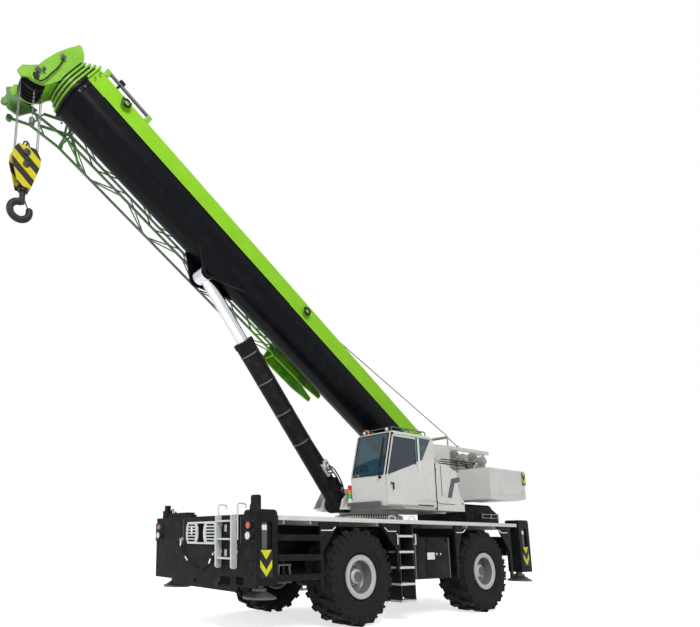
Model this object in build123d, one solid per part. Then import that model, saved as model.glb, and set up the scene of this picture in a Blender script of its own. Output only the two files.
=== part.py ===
from build123d import *
from math import atan2, cos, degrees, hypot, radians, sin
import os

os.makedirs("parts", exist_ok=True)

# Millimetres. +X is the way the crane drives, +Y its left, +Z up, the ground at Z = 0.
# Everything is drawn about the slewing axis and set down so that the whole outline is centred on the origin.
slew_axis_x = -2176.0

# Wheels: 29.5R25 earthmover tyres on dished rims
wheelbase = 4240.0
tyre_diameter = 1880.0
tyre_width = 744.0
wheel_centre_y = 1288.0
rim_radius = 420.0
rim_width = 690.0
rim_wall = 26.0
bead_clearance = 0.3
lug_height = 56.0
lug_thickness = 118.0
lug_count = 18
lug_slant = 24.0
kingpin_y = 860.0
kingpin_radius = 45.0
spindle_radius = 80.0
running_clearance = 0.05
steer_angle = 22.0

# Carrier
carrier_front_x = 4830.0
carrier_rear_x = -4600.0
panel_half_width = 1785.0
side_y = 1660.0
frame_half_width = 450.0
frame_top_z = 1930.0
frame_bottom_z = 1230.0
deck_top_z = 2072.0
deck_plate = 16.0
deck_front_x = 4220.0
deck_rear_x = -3630.0
deck_edge_height = 82.0
nose_half_width = 1290.0
skin = 12.0
seam_z = 1507.0
ladder_mid_y = 1002.0
ladder_half = 243.0
ladder_low_z = 1140.0
ladder_depth = 120.0
handrail_half = 305.0
handrail_top_z = 2275.0
lamp_y = 1625.0
grille_mid_y = 56.0
grille_half = 548.0
grille_low_z = 1550.0
grille_high_z = 1975.0
grille_thickness = 20.0
hood_front_x = -2900.0
hood_rear_x = -4400.0
hood_half_width = 760.0
hood_top_z = 2590.0

# Outriggers
front_jack_x = 4485.0
rear_jack_x = -3960.0
jack_y = 1440.0
housing_length = 480.0
housing_top_z = 2170.0
housing_bottom_z = 870.0
beam_box_half_length = 1300.0
beam_height = 330.0
beam_centre_z = 1540.0
beam_travel = 2050.0
slide_clearance = 6.0
seat_gap = 0.3
float_radius = 290.0
float_bottom_z = 640.0
slot_half = 115.0
jack_rod_radius = 75.0
jack_travel = 630.0

# Slewing ring and superstructure
ring_radius = 720.0
ring_height = 110.0
ring_bottom_z = 2110.0
turret_bottom_z = 2320.0
turret_plate = 50.0
turret_half_width = 560.0
cheek_inner_y = 480.0
cheek_top_z = 4135.0
platform_top_z = 3480.0
rail_height = 95.0
rail_rear_x = -4510.0
winch_radius = 215.0
front_winch_x = -3200.0
rear_winch_x = -4080.0
roller_x = -2630.0
roller_z = 4370.0

# Boom
boom_elevation = 33.6
foot_pin_x = -2400.0
foot_pin_z = 3550.0
boom_width = 920.0
boom_height = 1020.0
boom_top_h = 270.0
boom_wall = 14.0
section_step = 42.0
boom_base_end = 12090.0
collar_pitch = 78.0
collar_length = 34.0
collar_proud = 38.0
guide_length = 90.0
pad_height = 62.0
foot_pin_radius = 95.0
telescope_travel = 8800.0
jib_gap = 140.0
jib_width = 370.0
jib_tip_s = 5350.0
head_length = 340.0
cheek_thickness = 40.0
head_sheave_drop = 900.0
head_sheave_reach = 238.0
rope_radius = 14.0
fall_offset = 190.0
sheave_flange = 17.0
sheave_half_width = 30.0
front_fall_y = 35.0
rear_fall_y = 52.0
fall_length = 1555.0
block_drop = 540.0
hook_reach = 430.0
hook_bowl_radius = 165.0
hook_thickness = 62.0
luff_high = 78.0 - boom_elevation
luff_low = 0.0 - boom_elevation
sheave_radius = fall_offset - rope_radius - seat_gap

# Lift cylinder
cylinder_foot_x = 1000.0
cylinder_foot_z = 2450.0
rod_pin_s = 8017.0
rod_pin_h = -1000.0
barrel_radius = 215.0
barrel_bore = 180.0
barrel_length = 4430.0
rod_closed_gap = 200.0
piston_length = 60.0
lift_rod_radius = 130.0
lift_pin_radius = 80.0
lug_inner_y = 242.0
lug_thickness_y = 45.0
rod_eye_half = 165.0
rod_eye_radius = 165.0

# Cab
cab_front_x = 1250.0
cab_rear_x = -470.0
cab_inner_y = 634.0
cab_outer_y = 1600.0
cab_roof_z = 4000.0
screen_low_z = 3000.0
screen_top_x = 985.0
screen_top_z = 3960.0
cab_wall = 45.0
glass_thickness = 8.0
door_rear_x = 262.0
door_thickness = 28.0
door_gap = 13.3
door_travel = 640.0
door_low_z = 2425.0
door_high_z = 3860.0

# Counterweight
weight_front_x = -2650.0
weight_rear_x = -4400.0
weight_bottom_z = 2670.0
weight_top_z = 3460.0
weight_half_width = 1600.0


def block(x0, x1, y0, y1, z0, z1):
    """A rectangular block between two corners."""
    return Pos((x0 + x1) / 2, (y0 + y1) / 2, (z0 + z1) / 2) * Box(abs(x1 - x0), abs(y1 - y0), abs(z1 - z0))


def side_cut(points, y0, y1):
    """An (x, z) outline carried across from y0 to y1."""
    face = make_face(Polyline(*[(x, y0, z) for x, z in points], close=True))
    return extrude(face, amount=y1 - y0, dir=(0, 1, 0))


def plan_cut(points, z0, z1):
    """An (x, y) outline carried up from z0 to z1."""
    face = make_face(Polyline(*[(x, y, z0) for x, y in points], close=True))
    return extrude(face, amount=z1 - z0, dir=(0, 0, 1))


def front_cut(points, x0, x1):
    """A (y, z) outline carried forward from x0 to x1."""
    face = make_face(Polyline(*[(x0, y, z) for y, z in points], close=True))
    return extrude(face, amount=x1 - x0, dir=(1, 0, 0))


def rod(start, end, radius):
    """A round bar from one point to another."""
    a = Vector(*start)
    b = Vector(*end)
    return Plane(origin=a, z_dir=b - a) * Cylinder(
        radius, (b - a).length, align=(Align.CENTER, Align.CENTER, Align.MIN)
    )


def hex_bar(start, end, radius):
    """A six-sided bar from one point to another."""
    a = Vector(*start)
    b = Vector(*end)
    return extrude(Plane(origin=a, z_dir=b - a) * RegularPolygon(radius, 6), amount=(b - a).length)


def bent_tube(points, bend, radius):
    """A round tube along straight runs joined by arcs."""
    path = FilletPolyline(*points, radius=bend)
    start = path @ 0
    section = Plane(origin=start, z_dir=path % 0) * Circle(radius)
    return sweep(section, path=path)


def both_sides(shape):
    """A piece and its mirror image on the other side of the machine."""
    return [shape, mirror(shape, about=Plane.XZ)]


def fused(pieces):
    """Pieces welded into one solid."""
    if len(pieces) == 1:
        return pieces[0]
    return pieces[0].fuse(*pieces[1:])


# Wheels

def tyre():
    """A carcass with two rows of slanted lugs, open towards the rim."""
    tread_radius = tyre_diameter / 2 - lug_height
    half = tyre_width / 2
    bead_radius = rim_radius - 22.0 + bead_clearance
    bead_half = rim_width / 2 - 45.5
    carcass_points = [
        (bead_radius, bead_half),
        (rim_radius + 20, bead_half),
        (rim_radius + 60, half - 30),
        (rim_radius + 220, half),
        (tread_radius - 70, half - 16),
        (tread_radius, half - 80),
        (tread_radius, 80 - half),
        (tread_radius - 70, 16 - half),
        (rim_radius + 220, -half),
        (rim_radius + 60, 30 - half),
        (rim_radius + 20, -bead_half),
        (bead_radius, -bead_half),
        (bead_radius, 70 - bead_half),
        (rim_radius + 220, 70 - half),
        (tread_radius - 60, 110 - half),
        (tread_radius - 60, half - 110),
        (rim_radius + 220, half - 70),
        (bead_radius, bead_half - 70),
    ]
    face = make_face(Polyline(*[(r, y, 0) for r, y in carcass_points], close=True))
    carcass = revolve(face, axis=Axis.Y)
    tip = tyre_diameter / 2
    lug_points = [
        (20, tread_radius - 15),
        (20, tip),
        (half - 66, tip),
        (half - 4, tread_radius - 40),
        (half - 4, tread_radius - 110),
        (half - 40, tread_radius - 110),
    ]
    profile = make_face(Polyline(*[(0, y, -r) for y, r in lug_points], close=True))
    lug = extrude(profile, amount=lug_thickness / 2, both=True, dir=(1, 0, 0))
    lug = Pos(0, half / 2, 0) * Rot(0, 0, lug_slant) * Pos(0, -half / 2, 0) * lug
    lug = lug & (Rot(90, 0, 0) * Cylinder(tip, tyre_width))
    whole = carcass
    for index in range(lug_count):
        turn = 360.0 * index / lug_count
        whole = whole + Rot(0, turn, 0) * lug
        whole = whole + Rot(0, turn + 180.0 / lug_count, 0) * mirror(lug, about=Plane.XZ)
    return whole


def rim():
    """A deep dished rim with its hub, bored for the spindle; outboard is +Y."""
    half = rim_width / 2
    seat = rim_radius - 22
    inner = seat - rim_wall
    points = [
        (0, 250),
        (112, 250),
        (150, 215),
        (150, 130),
        (235, 118),
        (330, 70),
        (inner - 8, 105),
        (inner, half - 28),
        (rim_radius - 20, half),
        (rim_radius, half),
        (rim_radius, half - 25),
        (seat + 2, half - 45),
        (seat, half - 45),
        (seat, 45 - half),
        (rim_radius, 25 - half),
        (rim_radius, -half),
        (rim_radius - 20, -half),
        (inner, 28 - half),
        (inner - 8, 20),
        (235, 60),
        (spindle_radius, 40),
        (spindle_radius, 200),
        (0, 200),
    ]
    face = make_face(Polyline(*[(r, y, 0) for r, y in points], close=True))
    return revolve(face, axis=Axis.Y)


def wheel_places():
    """Each wheel's name, its axle's x and its side."""
    return [
        ("front_left", wheelbase / 2, 1),
        ("front_right", wheelbase / 2, -1),
        ("rear_left", -wheelbase / 2, 1),
        ("rear_right", -wheelbase / 2, -1),
    ]


def place_wheel(shape, axle_x, side):
    """Sets a wheel piece drawn about its own centre on its side of the machine."""
    if side < 0:
        shape = Rot(0, 0, 180) * shape
    return Pos(axle_x, side * wheel_centre_y, tyre_diameter / 2) * shape


def knuckle():
    """The steering knuckle, drawn about the kingpin at wheel height, outboard +Y."""
    hub_y = wheel_centre_y - kingpin_y
    boss = Cylinder(105, 270)
    flange = rod((0, 125, 0), (0, 175, 0), 175)
    pin = Cylinder(kingpin_radius, 430)
    neck = rod((0, 0, 0), (0, 130, 0), 120)
    spindle = rod((0, 0, 0), (0, hub_y + 198, 0), spindle_radius - running_clearance)
    return fused([boss, neck, flange, spindle, pin])


def axle(axle_x, seat_z):
    """A drive axle with its centre housing, yokes for the kingpins and seats under the frame."""
    z = tyre_diameter / 2
    nose_radius = 62.0
    tube = rod((0, -660, 0), (0, 660, 0), 125)
    housing = Sphere(285)
    pieces = [tube, housing]
    for side in (1, -1):
        web = block(-110, 110, side * 600, side * 730, -215, 215)
        pieces.append(web)
        for up in (1, -1):
            ear = block(-95, 95, side * 600, side * kingpin_y, up * 145, up * 215)
            eye = Pos(0, side * kingpin_y, up * 180) * Cylinder(95, 70)
            pieces.append(ear)
            pieces.append(eye)
        seat = block(-150, 150, side * 300, side * 440, 0, seat_z - z)
        pieces.append(seat)
    nose = rod((0, 0, 0), (-430 if axle_x > 0 else 430, 0, 40), nose_radius)
    pieces.append(nose)
    body = fused(pieces)
    for side in (1, -1):
        body = body - Pos(0, side * kingpin_y, 0) * Cylinder(kingpin_radius + running_clearance, 600)
    return Pos(axle_x, 0, z) * body


# Carrier

def chassis_frame():
    """The box-section frame with its belly and the pedestal of the slewing ring."""
    rear = rear_jack_x + housing_length / 2
    front = front_jack_x - housing_length / 2
    points = [
        (rear, frame_bottom_z + 120),
        (rear, frame_top_z),
        (front, frame_top_z),
        (front, frame_bottom_z + 120),
        (3400, frame_bottom_z),
        (1150, frame_bottom_z),
        (900, 900),
        (-900, 900),
        (-1150, frame_bottom_z),
        (-3000, frame_bottom_z),
    ]
    spine = side_cut(points, -frame_half_width, frame_half_width)
    pedestal = Pos(0, 0, (frame_top_z - 200 + ring_bottom_z) / 2) * Cylinder(
        ring_radius, ring_bottom_z - frame_top_z + 200
    )
    return spine + pedestal


def slewing_ring():
    """The toothed ring bolted to the pedestal."""
    tooth = 22.0
    teeth = 60
    ring = Cylinder(ring_radius + 20, ring_height) - Cylinder(ring_radius - 130, ring_height)
    cog = Pos(ring_radius + 20 + tooth / 2 - 4, 0, 0) * Box(tooth + 8, 38, ring_height - 30)
    cogs = [Rot(0, 0, 360.0 * i / teeth) * cog for i in range(teeth)]
    return Pos(0, 0, ring_bottom_z + ring_height / 2) * fused([ring] + cogs)


def deck():
    """The deck plate on its cross bearers, with turned-down edges and the ring's round opening."""
    w = nose_half_width
    nose_x = carrier_front_x - 60
    plan = [
        (deck_rear_x, side_y), (deck_rear_x, w), (carrier_rear_x, w), (carrier_rear_x, -w), (deck_rear_x, -w),
        (deck_rear_x, -side_y), (deck_front_x, -side_y), (deck_front_x, -w), (nose_x, -w), (nose_x, w),
        (deck_front_x, w), (deck_front_x, side_y),
    ]
    plate = plan_cut(plan, deck_top_z - deck_plate, deck_top_z)
    edges = [
        block(deck_rear_x, deck_front_x, s * (side_y - skin), s * side_y, deck_top_z - deck_edge_height, deck_top_z)
        for s in (1, -1)
    ]
    bearer_xs = [-3400, -2700, -1560, -1130, 1130, 1560, 2700, 3400, 4050]
    bearers = [
        block(x - 20, x + 20, 60 - side_y, side_y - 60, frame_top_z, deck_top_z - deck_plate) for x in bearer_xs
    ]
    nose_bearers = [
        block(x - 20, x + 20, -w, w, frame_top_z, deck_top_z - deck_plate) for x in (rear_jack_x, front_jack_x)
    ]
    bearers.extend(nose_bearers)
    hole = Pos(0, 0, deck_top_z) * Cylinder(ring_radius + 60, 400)
    hoops = []
    for start in (1050, 400):
        top = deck_top_z + 72
        y = side_y - 22
        hoops.append(bent_tube(
            [(start, y, deck_top_z - 5), (start, y, top), (start + 190, y, top), (start + 190, y, deck_top_z - 5)], 45, 12
        ))
    return fused([plate] + edges + bearers + hoops) - hole


def outrigger_box(jack_x):
    """The cross box that carries two beams side by side, open at both ends."""
    wall = 18.0
    half = housing_length / 2
    z0 = beam_centre_z - beam_height / 2 - seat_gap - wall
    z1 = beam_centre_z + beam_height / 2 + slide_clearance + wall
    outer = block(jack_x - half, jack_x + half, -beam_box_half_length, beam_box_half_length, z0, z1)
    wide = half - 1.5 * wall
    for sign in (1, -1):
        x0 = jack_x + sign * wall / 2
        x1 = x0 + sign * wide
        outer = outer - block(x0, x1, -beam_box_half_length, beam_box_half_length, z0 + wall, z1 - wall)
    post_half = frame_half_width
    post = block(jack_x - half, jack_x + half, -post_half, post_half, z1, frame_top_z)
    return outer + post


def outrigger_beam(jack_x, side, lane):
    """A beam in its lane of the cross box with the jack's round-topped housing on its outer end."""
    wall = 18.0
    half = housing_length / 2
    lane_wide = half - 1.5 * wall
    x_near = jack_x + lane * (wall / 2 + slide_clearance)
    x_far = jack_x + lane * (wall / 2 + lane_wide - slide_clearance)
    z0 = beam_centre_z - beam_height / 2
    z1 = beam_centre_z + beam_height / 2
    inner_end = -beam_box_half_length + 60
    beam = block(x_near, x_far, side * inner_end, side * (beam_box_half_length + 60), z0, z1)
    housing = block(
        jack_x - half, jack_x + half, side * (beam_box_half_length + 6), side * side_y,
        housing_bottom_z, housing_top_z,
    )
    housing = fillet(housing.edges().filter_by(Axis.Y).group_by(Axis.Z)[-1], 80)
    slot = block(
        jack_x - slot_half, jack_x + slot_half, side * (side_y - 40), side * (side_y + 40), 1470, 1950
    )
    slot = fillet(slot.edges().filter_by(Axis.Y), 24)
    bore = Pos(jack_x, side * jack_y, (housing_bottom_z + 1400) / 2) * Cylinder(
        jack_rod_radius + seat_gap, 1400 - housing_bottom_z + 2
    )
    return beam + housing - slot - bore


def outrigger_jack(jack_x, side):
    """The jack's rod and its round float: a flat rim with a cone up to the rod's cup."""
    rod_part = rod((0, 0, float_bottom_z + 40), (0, 0, 1390), jack_rod_radius)
    cup = rod((0, 0, float_bottom_z + 120), (0, 0, float_bottom_z + 175), 125)
    dish = Pos(0, 0, float_bottom_z + 18) * Cylinder(float_radius, 36)
    cone = Pos(0, 0, float_bottom_z + 36) * Cone(
        float_radius - 22, 110, 100, align=(Align.CENTER, Align.CENTER, Align.MIN)
    )
    return Pos(jack_x, side * jack_y, 0) * fused([rod_part, cup, dish, cone])


def front_panel():
    """The wide front plate with its stepped lower edge, its long seam and the grille's opening."""
    w = panel_half_width
    top = deck_top_z + 6
    points = [
        (-w, 840), (-1050, 840), (-980, 740), (1210, 740), (1270, 840), (w, 840),
        (w, top), (-w, top),
    ]
    thick = 60.0
    plate = front_cut(points, carrier_front_x - thick, carrier_front_x)
    opening = front_cut(grille_outline(-38), carrier_front_x - thick - 5, carrier_front_x + 5)
    seam = block(carrier_front_x - 6, carrier_front_x + 5, -w - 5, w + 5, seam_z - 4, seam_z + 4)
    front_box_x = front_jack_x + housing_length / 2
    backing = [
        block(front_box_x, carrier_front_x - thick, y - 60, y + 60, beam_centre_z - 180, beam_centre_z + 180)
        for y in (-900, 900)
    ]
    return fused([plate - opening - seam] + backing)


def grille_outline(grow):
    """The grille's front outline, bowed at both ends, moved outward by grow."""
    mid_z = (grille_low_z + grille_high_z) / 2
    left = grille_mid_y - grille_half - grow
    right = grille_mid_y + grille_half + grow
    low = grille_low_z - grow
    high = grille_high_z + grow
    return [
        (left + 62, low), (left + 12, mid_z - 120), (left, mid_z), (left + 12, mid_z + 120), (left + 62, high),
        (right - 62, high), (right - 12, mid_z + 120), (right, mid_z), (right - 12, mid_z - 120), (right - 62, low),
    ]


def grille():
    """The grille plate on the front panel: six slots each side of a waisted opening."""
    x0 = carrier_front_x + seat_gap
    x1 = x0 + grille_thickness
    plate = front_cut(grille_outline(0), x0, x1)
    mid = grille_mid_y
    low = grille_low_z + 34
    high = grille_high_z - 34
    centre = (low + high) / 2
    waist = [
        (mid - 150, low), (mid - 108, low + 70), (mid - 100, centre), (mid - 108, high - 70), (mid - 150, high),
        (mid + 150, high), (mid + 108, high - 70), (mid + 100, centre), (mid + 108, low + 70), (mid + 150, low),
    ]
    cuts = [front_cut(waist, x0 - 5, x1 + 5)]
    count = 6
    pitch = (high - low) / count
    for index in range(count):
        z = low + pitch * (index + 0.5)
        bow = 16.0 * abs(index - 2.5)
        for side in (1, -1):
            y0 = mid + side * (176 + bow * 0.7)
            y1 = mid + side * (grille_half - 52 - bow * 0.6)
            cuts.append(block(x0 - 5, x1 + 5, y0, y1, z - 17, z + 17))
    for cut in cuts:
        plate = plate - cut
    return plate


def ladders():
    """The front ladder with its box rails and hooked handrails, and a side ladder between the wheels on each side."""
    solids = []
    x0 = carrier_front_x + 15
    x1 = x0 + ladder_depth
    rung_zs = (1970, 1650, 1315)
    pieces = []
    for side in (1, -1):
        y = ladder_mid_y + side * ladder_half
        rail = block(x0, x1, y - 21, y + 21, ladder_low_z, deck_top_z - 6)
        rail = chamfer(rail.edges().filter_by(Axis.Y).group_by(Axis.Z)[0], 30)
        pieces.append(rail)
        pieces.extend(block(carrier_front_x, x0 + 20, y - 18, y + 18, z - 30, z + 30) for z in (1430, 1900))
        hand_y = ladder_mid_y + side * handrail_half
        hand_x = carrier_front_x + 32
        hook_x = hand_x - 175
        pieces.append(bent_tube(
            [
                (hand_x, hand_y, 1640), (hand_x, hand_y, handrail_top_z), (hook_x, hand_y, handrail_top_z),
                (hook_x - 12, hand_y, handrail_top_z - 80),
            ],
            32, 13,
        ))
        for z in (1700, 1990):
            pieces.append(rod((hand_x, y, z), (hand_x, hand_y, z), 10))
    for z in rung_zs:
        pieces.append(block(x0 + 18, x1 - 22, ladder_mid_y - ladder_half, ladder_mid_y + ladder_half, z - 16, z + 16))
    solids.append(fused(pieces))
    for side in (1, -1):
        y0 = side * (side_y - 300)
        y1 = side * side_y
        uprights = [block(px - 12, px + 12, y0, y1, 390, deck_top_z - deck_edge_height) for px in (520, 960)]
        treads = [block(508, 972, y0, y1, z - 15, z + 15) for z in (1730, 1405, 1085, 750, 410)]
        solids.append(fused(uprights + treads))
    return solids


def mudguards():
    """Arch plates at the wheels and the three step bars behind each front outrigger."""
    solids = []
    y0 = side_y - 45
    top = deck_top_z - deck_edge_height
    front_arch = [(3216, top), (2690, top), (3145, 1440), (3145, 720), (3216, 720)]
    mid_front = [(1545, top), (1000, top), (1000, 1000), (1040, 1000), (1064, 1470)]
    mid_rear = [(-1317, top), (-990, top), (-990, 800), (-1070, 800), (-1096, 1410)]
    rear_arch = [(-2775, top), (-3220, 1370), (-3220, 750), (-3310, 750), (-3310, top)]
    bar_end = front_jack_x - housing_length / 2 - 10
    for side in (1, -1):
        for outline in (mid_front, mid_rear, rear_arch):
            solids.append(side_cut(outline, side * y0, side * side_y))
        bars = [
            block(3200, bar_end, side * (side_y - 210), side * side_y, z - 55, z + 55) for z in (1685, 1330, 980)
        ]
        solids.append(fused([side_cut(front_arch, side * y0, side * side_y)] + bars))
    return solids


def side_tanks():
    """The fuel tank on the left and the oil tank on the right, hung on the frame."""
    tank = block(-840, 440, frame_half_width, side_y - 60, 820, 1720)
    outer = tank.edges().filter_by(Axis.X).group_by(Axis.Y)[-1]
    tank = fillet(outer, 60)
    return both_sides(tank)


def engine_hood():
    """The low hood over the engine behind the slewing ring, stepped down to the rear."""
    profile = [
        (hood_front_x, deck_top_z), (hood_front_x, hood_top_z), (-4010, hood_top_z), (-4090, hood_top_z - 100),
        (hood_rear_x + 20, 2340), (hood_rear_x, deck_top_z),
    ]
    shell = side_cut(profile, -hood_half_width, hood_half_width)
    shell = fillet(shell.edges().filter_by(Axis.X).group_by(Axis.Z)[-1], 80)
    top = hood_top_z - skin - 70
    inner = [
        (hood_front_x - skin, deck_top_z - 5), (hood_front_x - skin, top), (-3990, top), (-4060, top - 80),
        (hood_rear_x + 40, 2290), (hood_rear_x + skin, deck_top_z - 5),
    ]
    return shell - side_cut(inner, skin - hood_half_width, hood_half_width - skin)


def engine_block():
    """The engine's mass on the frame under the hood."""
    return block(-3950, -3150, -350, 350, deck_top_z, 2470)


def rear_bumper():
    """The rear cross member with its tow coupling."""
    rear = rear_jack_x - housing_length / 2
    beam = block(carrier_rear_x + 100, rear, -1000, 1000, 1250, 1750)
    lug = block(carrier_rear_x - 60, carrier_rear_x + 100, -60, 60, 1400, 1520)
    hole = Pos(carrier_rear_x, 0, 1460) * Cylinder(30, 200)
    return beam + lug - hole


def lamps_and_mirrors():
    """Headlamps and turn lamps on their plates, the mirror on its arm and a control box on the deck's nose."""
    solids = []
    x = carrier_front_x
    for side in (1, -1):
        y = side * lamp_y
        plate = block(x, x + 8, y - 190, y + 120, 1595, 1962)
        head = rod((x, y, 1711), (x + 55, y, 1711), 78)
        turn = rod((x, y + side * 12, 1886), (x + 45, y + side * 12, 1886), 66)
        solids.append(fused([plate, head, turn]))
    stem_x = x - 30
    stem_z = deck_top_z + 6
    arm = bent_tube([(stem_x, 1600, stem_z), (stem_x, 1600, 2260), (stem_x, 1780, 2260)], 60, 14)
    mirror_slab = block(x - 60, x, 1650, 1860, stem_z + 14, 2402)
    mirror_slab = fillet(mirror_slab.edges().filter_by(Axis.X), 40)
    solids.append(arm + mirror_slab)
    solids.append(block(4560, 4740, -1250, -640, deck_top_z + seat_gap, 2180))
    return solids


# Superstructure

def turret_frame():
    """The slewing platform: ring plate, two tall cheeks for the boom foot, side rails and the cylinder's bracket."""
    base_top = turret_bottom_z + turret_plate
    bearing = Pos(0, 0, (ring_bottom_z + ring_height + turret_bottom_z) / 2) * Cylinder(
        ring_radius - 20, turret_bottom_z - ring_bottom_z - ring_height
    )
    plan = [
        (1250, -500), (1250, 500), (600, 620), (600, 1560), (-1600, 1560), (-1600, 620),
        (-2300, turret_half_width), (-2300, -turret_half_width), (-1500, -900), (600, -900),
    ]
    plate = plan_cut(plan, turret_bottom_z, base_top)
    cheek_rear_x = -2640.0
    cheek_points = [
        (900, base_top - 5), (350, 2760), (-900, 3150), (-1450, 3640), (-1890, cheek_top_z - 25),
        (cheek_rear_x, cheek_top_z), (cheek_rear_x, platform_top_z), (-4300, platform_top_z), (-4300, 3000),
        (-3450, 2700), (-2300, 2640), (-2300, base_top - 5),
    ]
    cheeks = []
    for side in (1, -1):
        y0 = side * cheek_inner_y
        y1 = side * turret_half_width
        cheeks.append(side_cut(cheek_points, y0, y1))
        rail_y = side * (turret_half_width - 60)
        cheeks.append(block(rail_rear_x, cheek_rear_x + 20, rail_y, y1, cheek_top_z - rail_height, cheek_top_z))
        cheeks.append(block(-4300, -4250, rail_y, y1, platform_top_z - 5, cheek_top_z - rail_height + 5))
        for boss_x, boss_z in ((-2145, 3856), (-1990, 3700)):
            cheeks.append(rod((boss_x, y1, boss_z), (boss_x, y1 + side * 14, boss_z), 52))
        cheeks.append(rod((foot_pin_x, y1, foot_pin_z), (foot_pin_x, y1 + side * 20, foot_pin_z), 165))
        for rib_x in (630, 800):
            rib = side_cut(
                [(rib_x, base_top - 5), (rib_x, base_top + 170), (rib_x + 30, base_top + 170), (rib_x + 30, base_top - 5)],
                y1 - side * 5, y1 + side * 55,
            )
            cheeks.append(rib)
    tie = block(rail_rear_x + 10, rail_rear_x + 60, -turret_half_width, turret_half_width, cheek_top_z - 80, cheek_top_z - 20)
    floor = block(-4300, -3350, -turret_half_width, turret_half_width, 3000, 3060)
    back = block(-2320, -2260, -turret_half_width, turret_half_width, base_top - 5, 2660)
    low_floor = side_cut(
        [(-2300, 2640), (-3450, 2700), (-4300, 3000), (-4300, 3040), (-3440, 2740), (-2300, 2680)],
        -turret_half_width, turret_half_width,
    )
    bracket = []
    for side in (1, -1):
        ear = side_cut(
            [(600, base_top - 5), (820, 2560), (930, 2640), (1070, 2640), (1180, 2560), (1240, base_top - 5)],
            side * 275, side * 335,
        )
        bracket.append(ear)
    slot = block(cylinder_foot_x - 240, 1400, -270, 270, turret_bottom_z - 5, base_top + 5)
    body = fused([bearing, plate - slot] + cheeks + [tie, floor, back, low_floor] + bracket)
    foot_bore = rod((foot_pin_x, -700, foot_pin_z), (foot_pin_x, 700, foot_pin_z), foot_pin_radius)
    lift_bore = rod(
        (cylinder_foot_x, -400, cylinder_foot_z), (cylinder_foot_x, 400, cylinder_foot_z), lift_pin_radius
    )
    return body - foot_bore - lift_bore


def winches():
    """The two hoist winches on the rear of the platform: drum, flanges, gear housing and stands."""
    solids = []
    z = platform_top_z + 350
    for x in (front_winch_x, rear_winch_x):
        drum = rod((x, -300, z), (x, 300, z), winch_radius)
        flanges = [rod((x, s * 300, z), (x, s * 330, z), winch_radius + 72) for s in (1, -1)]
        stands = [block(x - 120, x + 120, s * 490, s * 545, platform_top_z, z + 40) for s in (1, -1)]
        shafts = [rod((x, s * 300, z), (x, s * 500, z), 90) for s in (1, -1)]
        gears = [rod((x, s * 540, z), (x, s * 610, z), 140) for s in (1, -1)]
        motor = rod((x, 600, z), (x, 680, z), 95)
        solids.append(fused([drum] + flanges + stands + shafts + gears + [motor]))
    return solids


def rope_roller():
    """The roller on its braced posts that leads the hoist rope over the side rails."""
    y = turret_half_width - 30
    seat = cheek_top_z + seat_gap
    pieces = [rod((roller_x, -y, roller_z), (roller_x, y, roller_z), 40)]
    for side in (1, -1):
        pieces.append(rod((roller_x, side * y, seat), (roller_x, side * y, roller_z), 20))
        foot_x = roller_x - 430
        pieces.append(block(foot_x - 40, foot_x + 40, side * (y - 18), side * (y + 18), seat, seat + 44))
        pieces.append(rod((foot_x, side * y, seat + 24), (roller_x, side * y, roller_z), 15))
    return fused(pieces)


def counterweight():
    """The cast slab round the rear of the platform, its upper edges broken and its rear corners rounded."""
    w = weight_half_width
    slot = turret_half_width + seat_gap
    plan = [
        (weight_rear_x, -w), (weight_rear_x, w), (weight_front_x - 35, w), (weight_front_x, slot),
        (-4310, slot), (-4310, -slot), (weight_front_x, -slot), (weight_front_x - 35, -w),
    ]
    slab = plan_cut(plan, weight_bottom_z, weight_top_z)
    corners = slab.edges().filter_by(Axis.Z).group_by(Axis.X)[0]
    slab = fillet(corners, 90)
    undercut = side_cut(
        [(weight_rear_x - 10, weight_bottom_z - 10), (weight_rear_x - 10, weight_bottom_z + 70),
         (weight_rear_x + 500, weight_bottom_z - 10)],
        -w - 10, w + 10,
    )
    slab = slab - undercut
    lugs = [block(x, x + 110, s * 1180, s * 1215, weight_top_z - 5, weight_top_z + 60) for x in (-3150, -4150) for s in (1, -1)]
    return fused([slab] + lugs)


def body_panel():
    """The machinery housing behind the cab and the low one on the right."""
    base = turret_bottom_z + turret_plate
    left_points = [
        (cab_rear_x - 10, base), (cab_rear_x - 10, 3400), (-1000, 3395), (-1395, 3210), (-1310, 3095), (-1470, 2640),
        (-1595, 2560), (-1595, base),
    ]
    left = side_cut(left_points, cab_inner_y, cab_outer_y - 40)
    left = chamfer(left.edges().filter_by(Axis.X).group_by(Axis.Z)[-1].group_by(Axis.Y)[-1], 5)
    right_points = [
        (590, base), (500, 2900), (-1300, 2900), (-1490, 2600), (-1490, base),
    ]
    right = side_cut(right_points, -890, -turret_half_width - 15)
    return [left, right]


def cab_outline(grow):
    """The cab's side outline, moved outward by grow."""
    z0 = turret_bottom_z + turret_plate
    g = grow
    return [
        (cab_front_x - 50 + g, z0 - g), (cab_front_x + g, screen_low_z), (screen_top_x + g, screen_top_z + g),
        (900, cab_roof_z + g),
        (-330, cab_roof_z + g), (cab_rear_x - g, 3900), (cab_rear_x - g, z0 - g),
    ]


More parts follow.
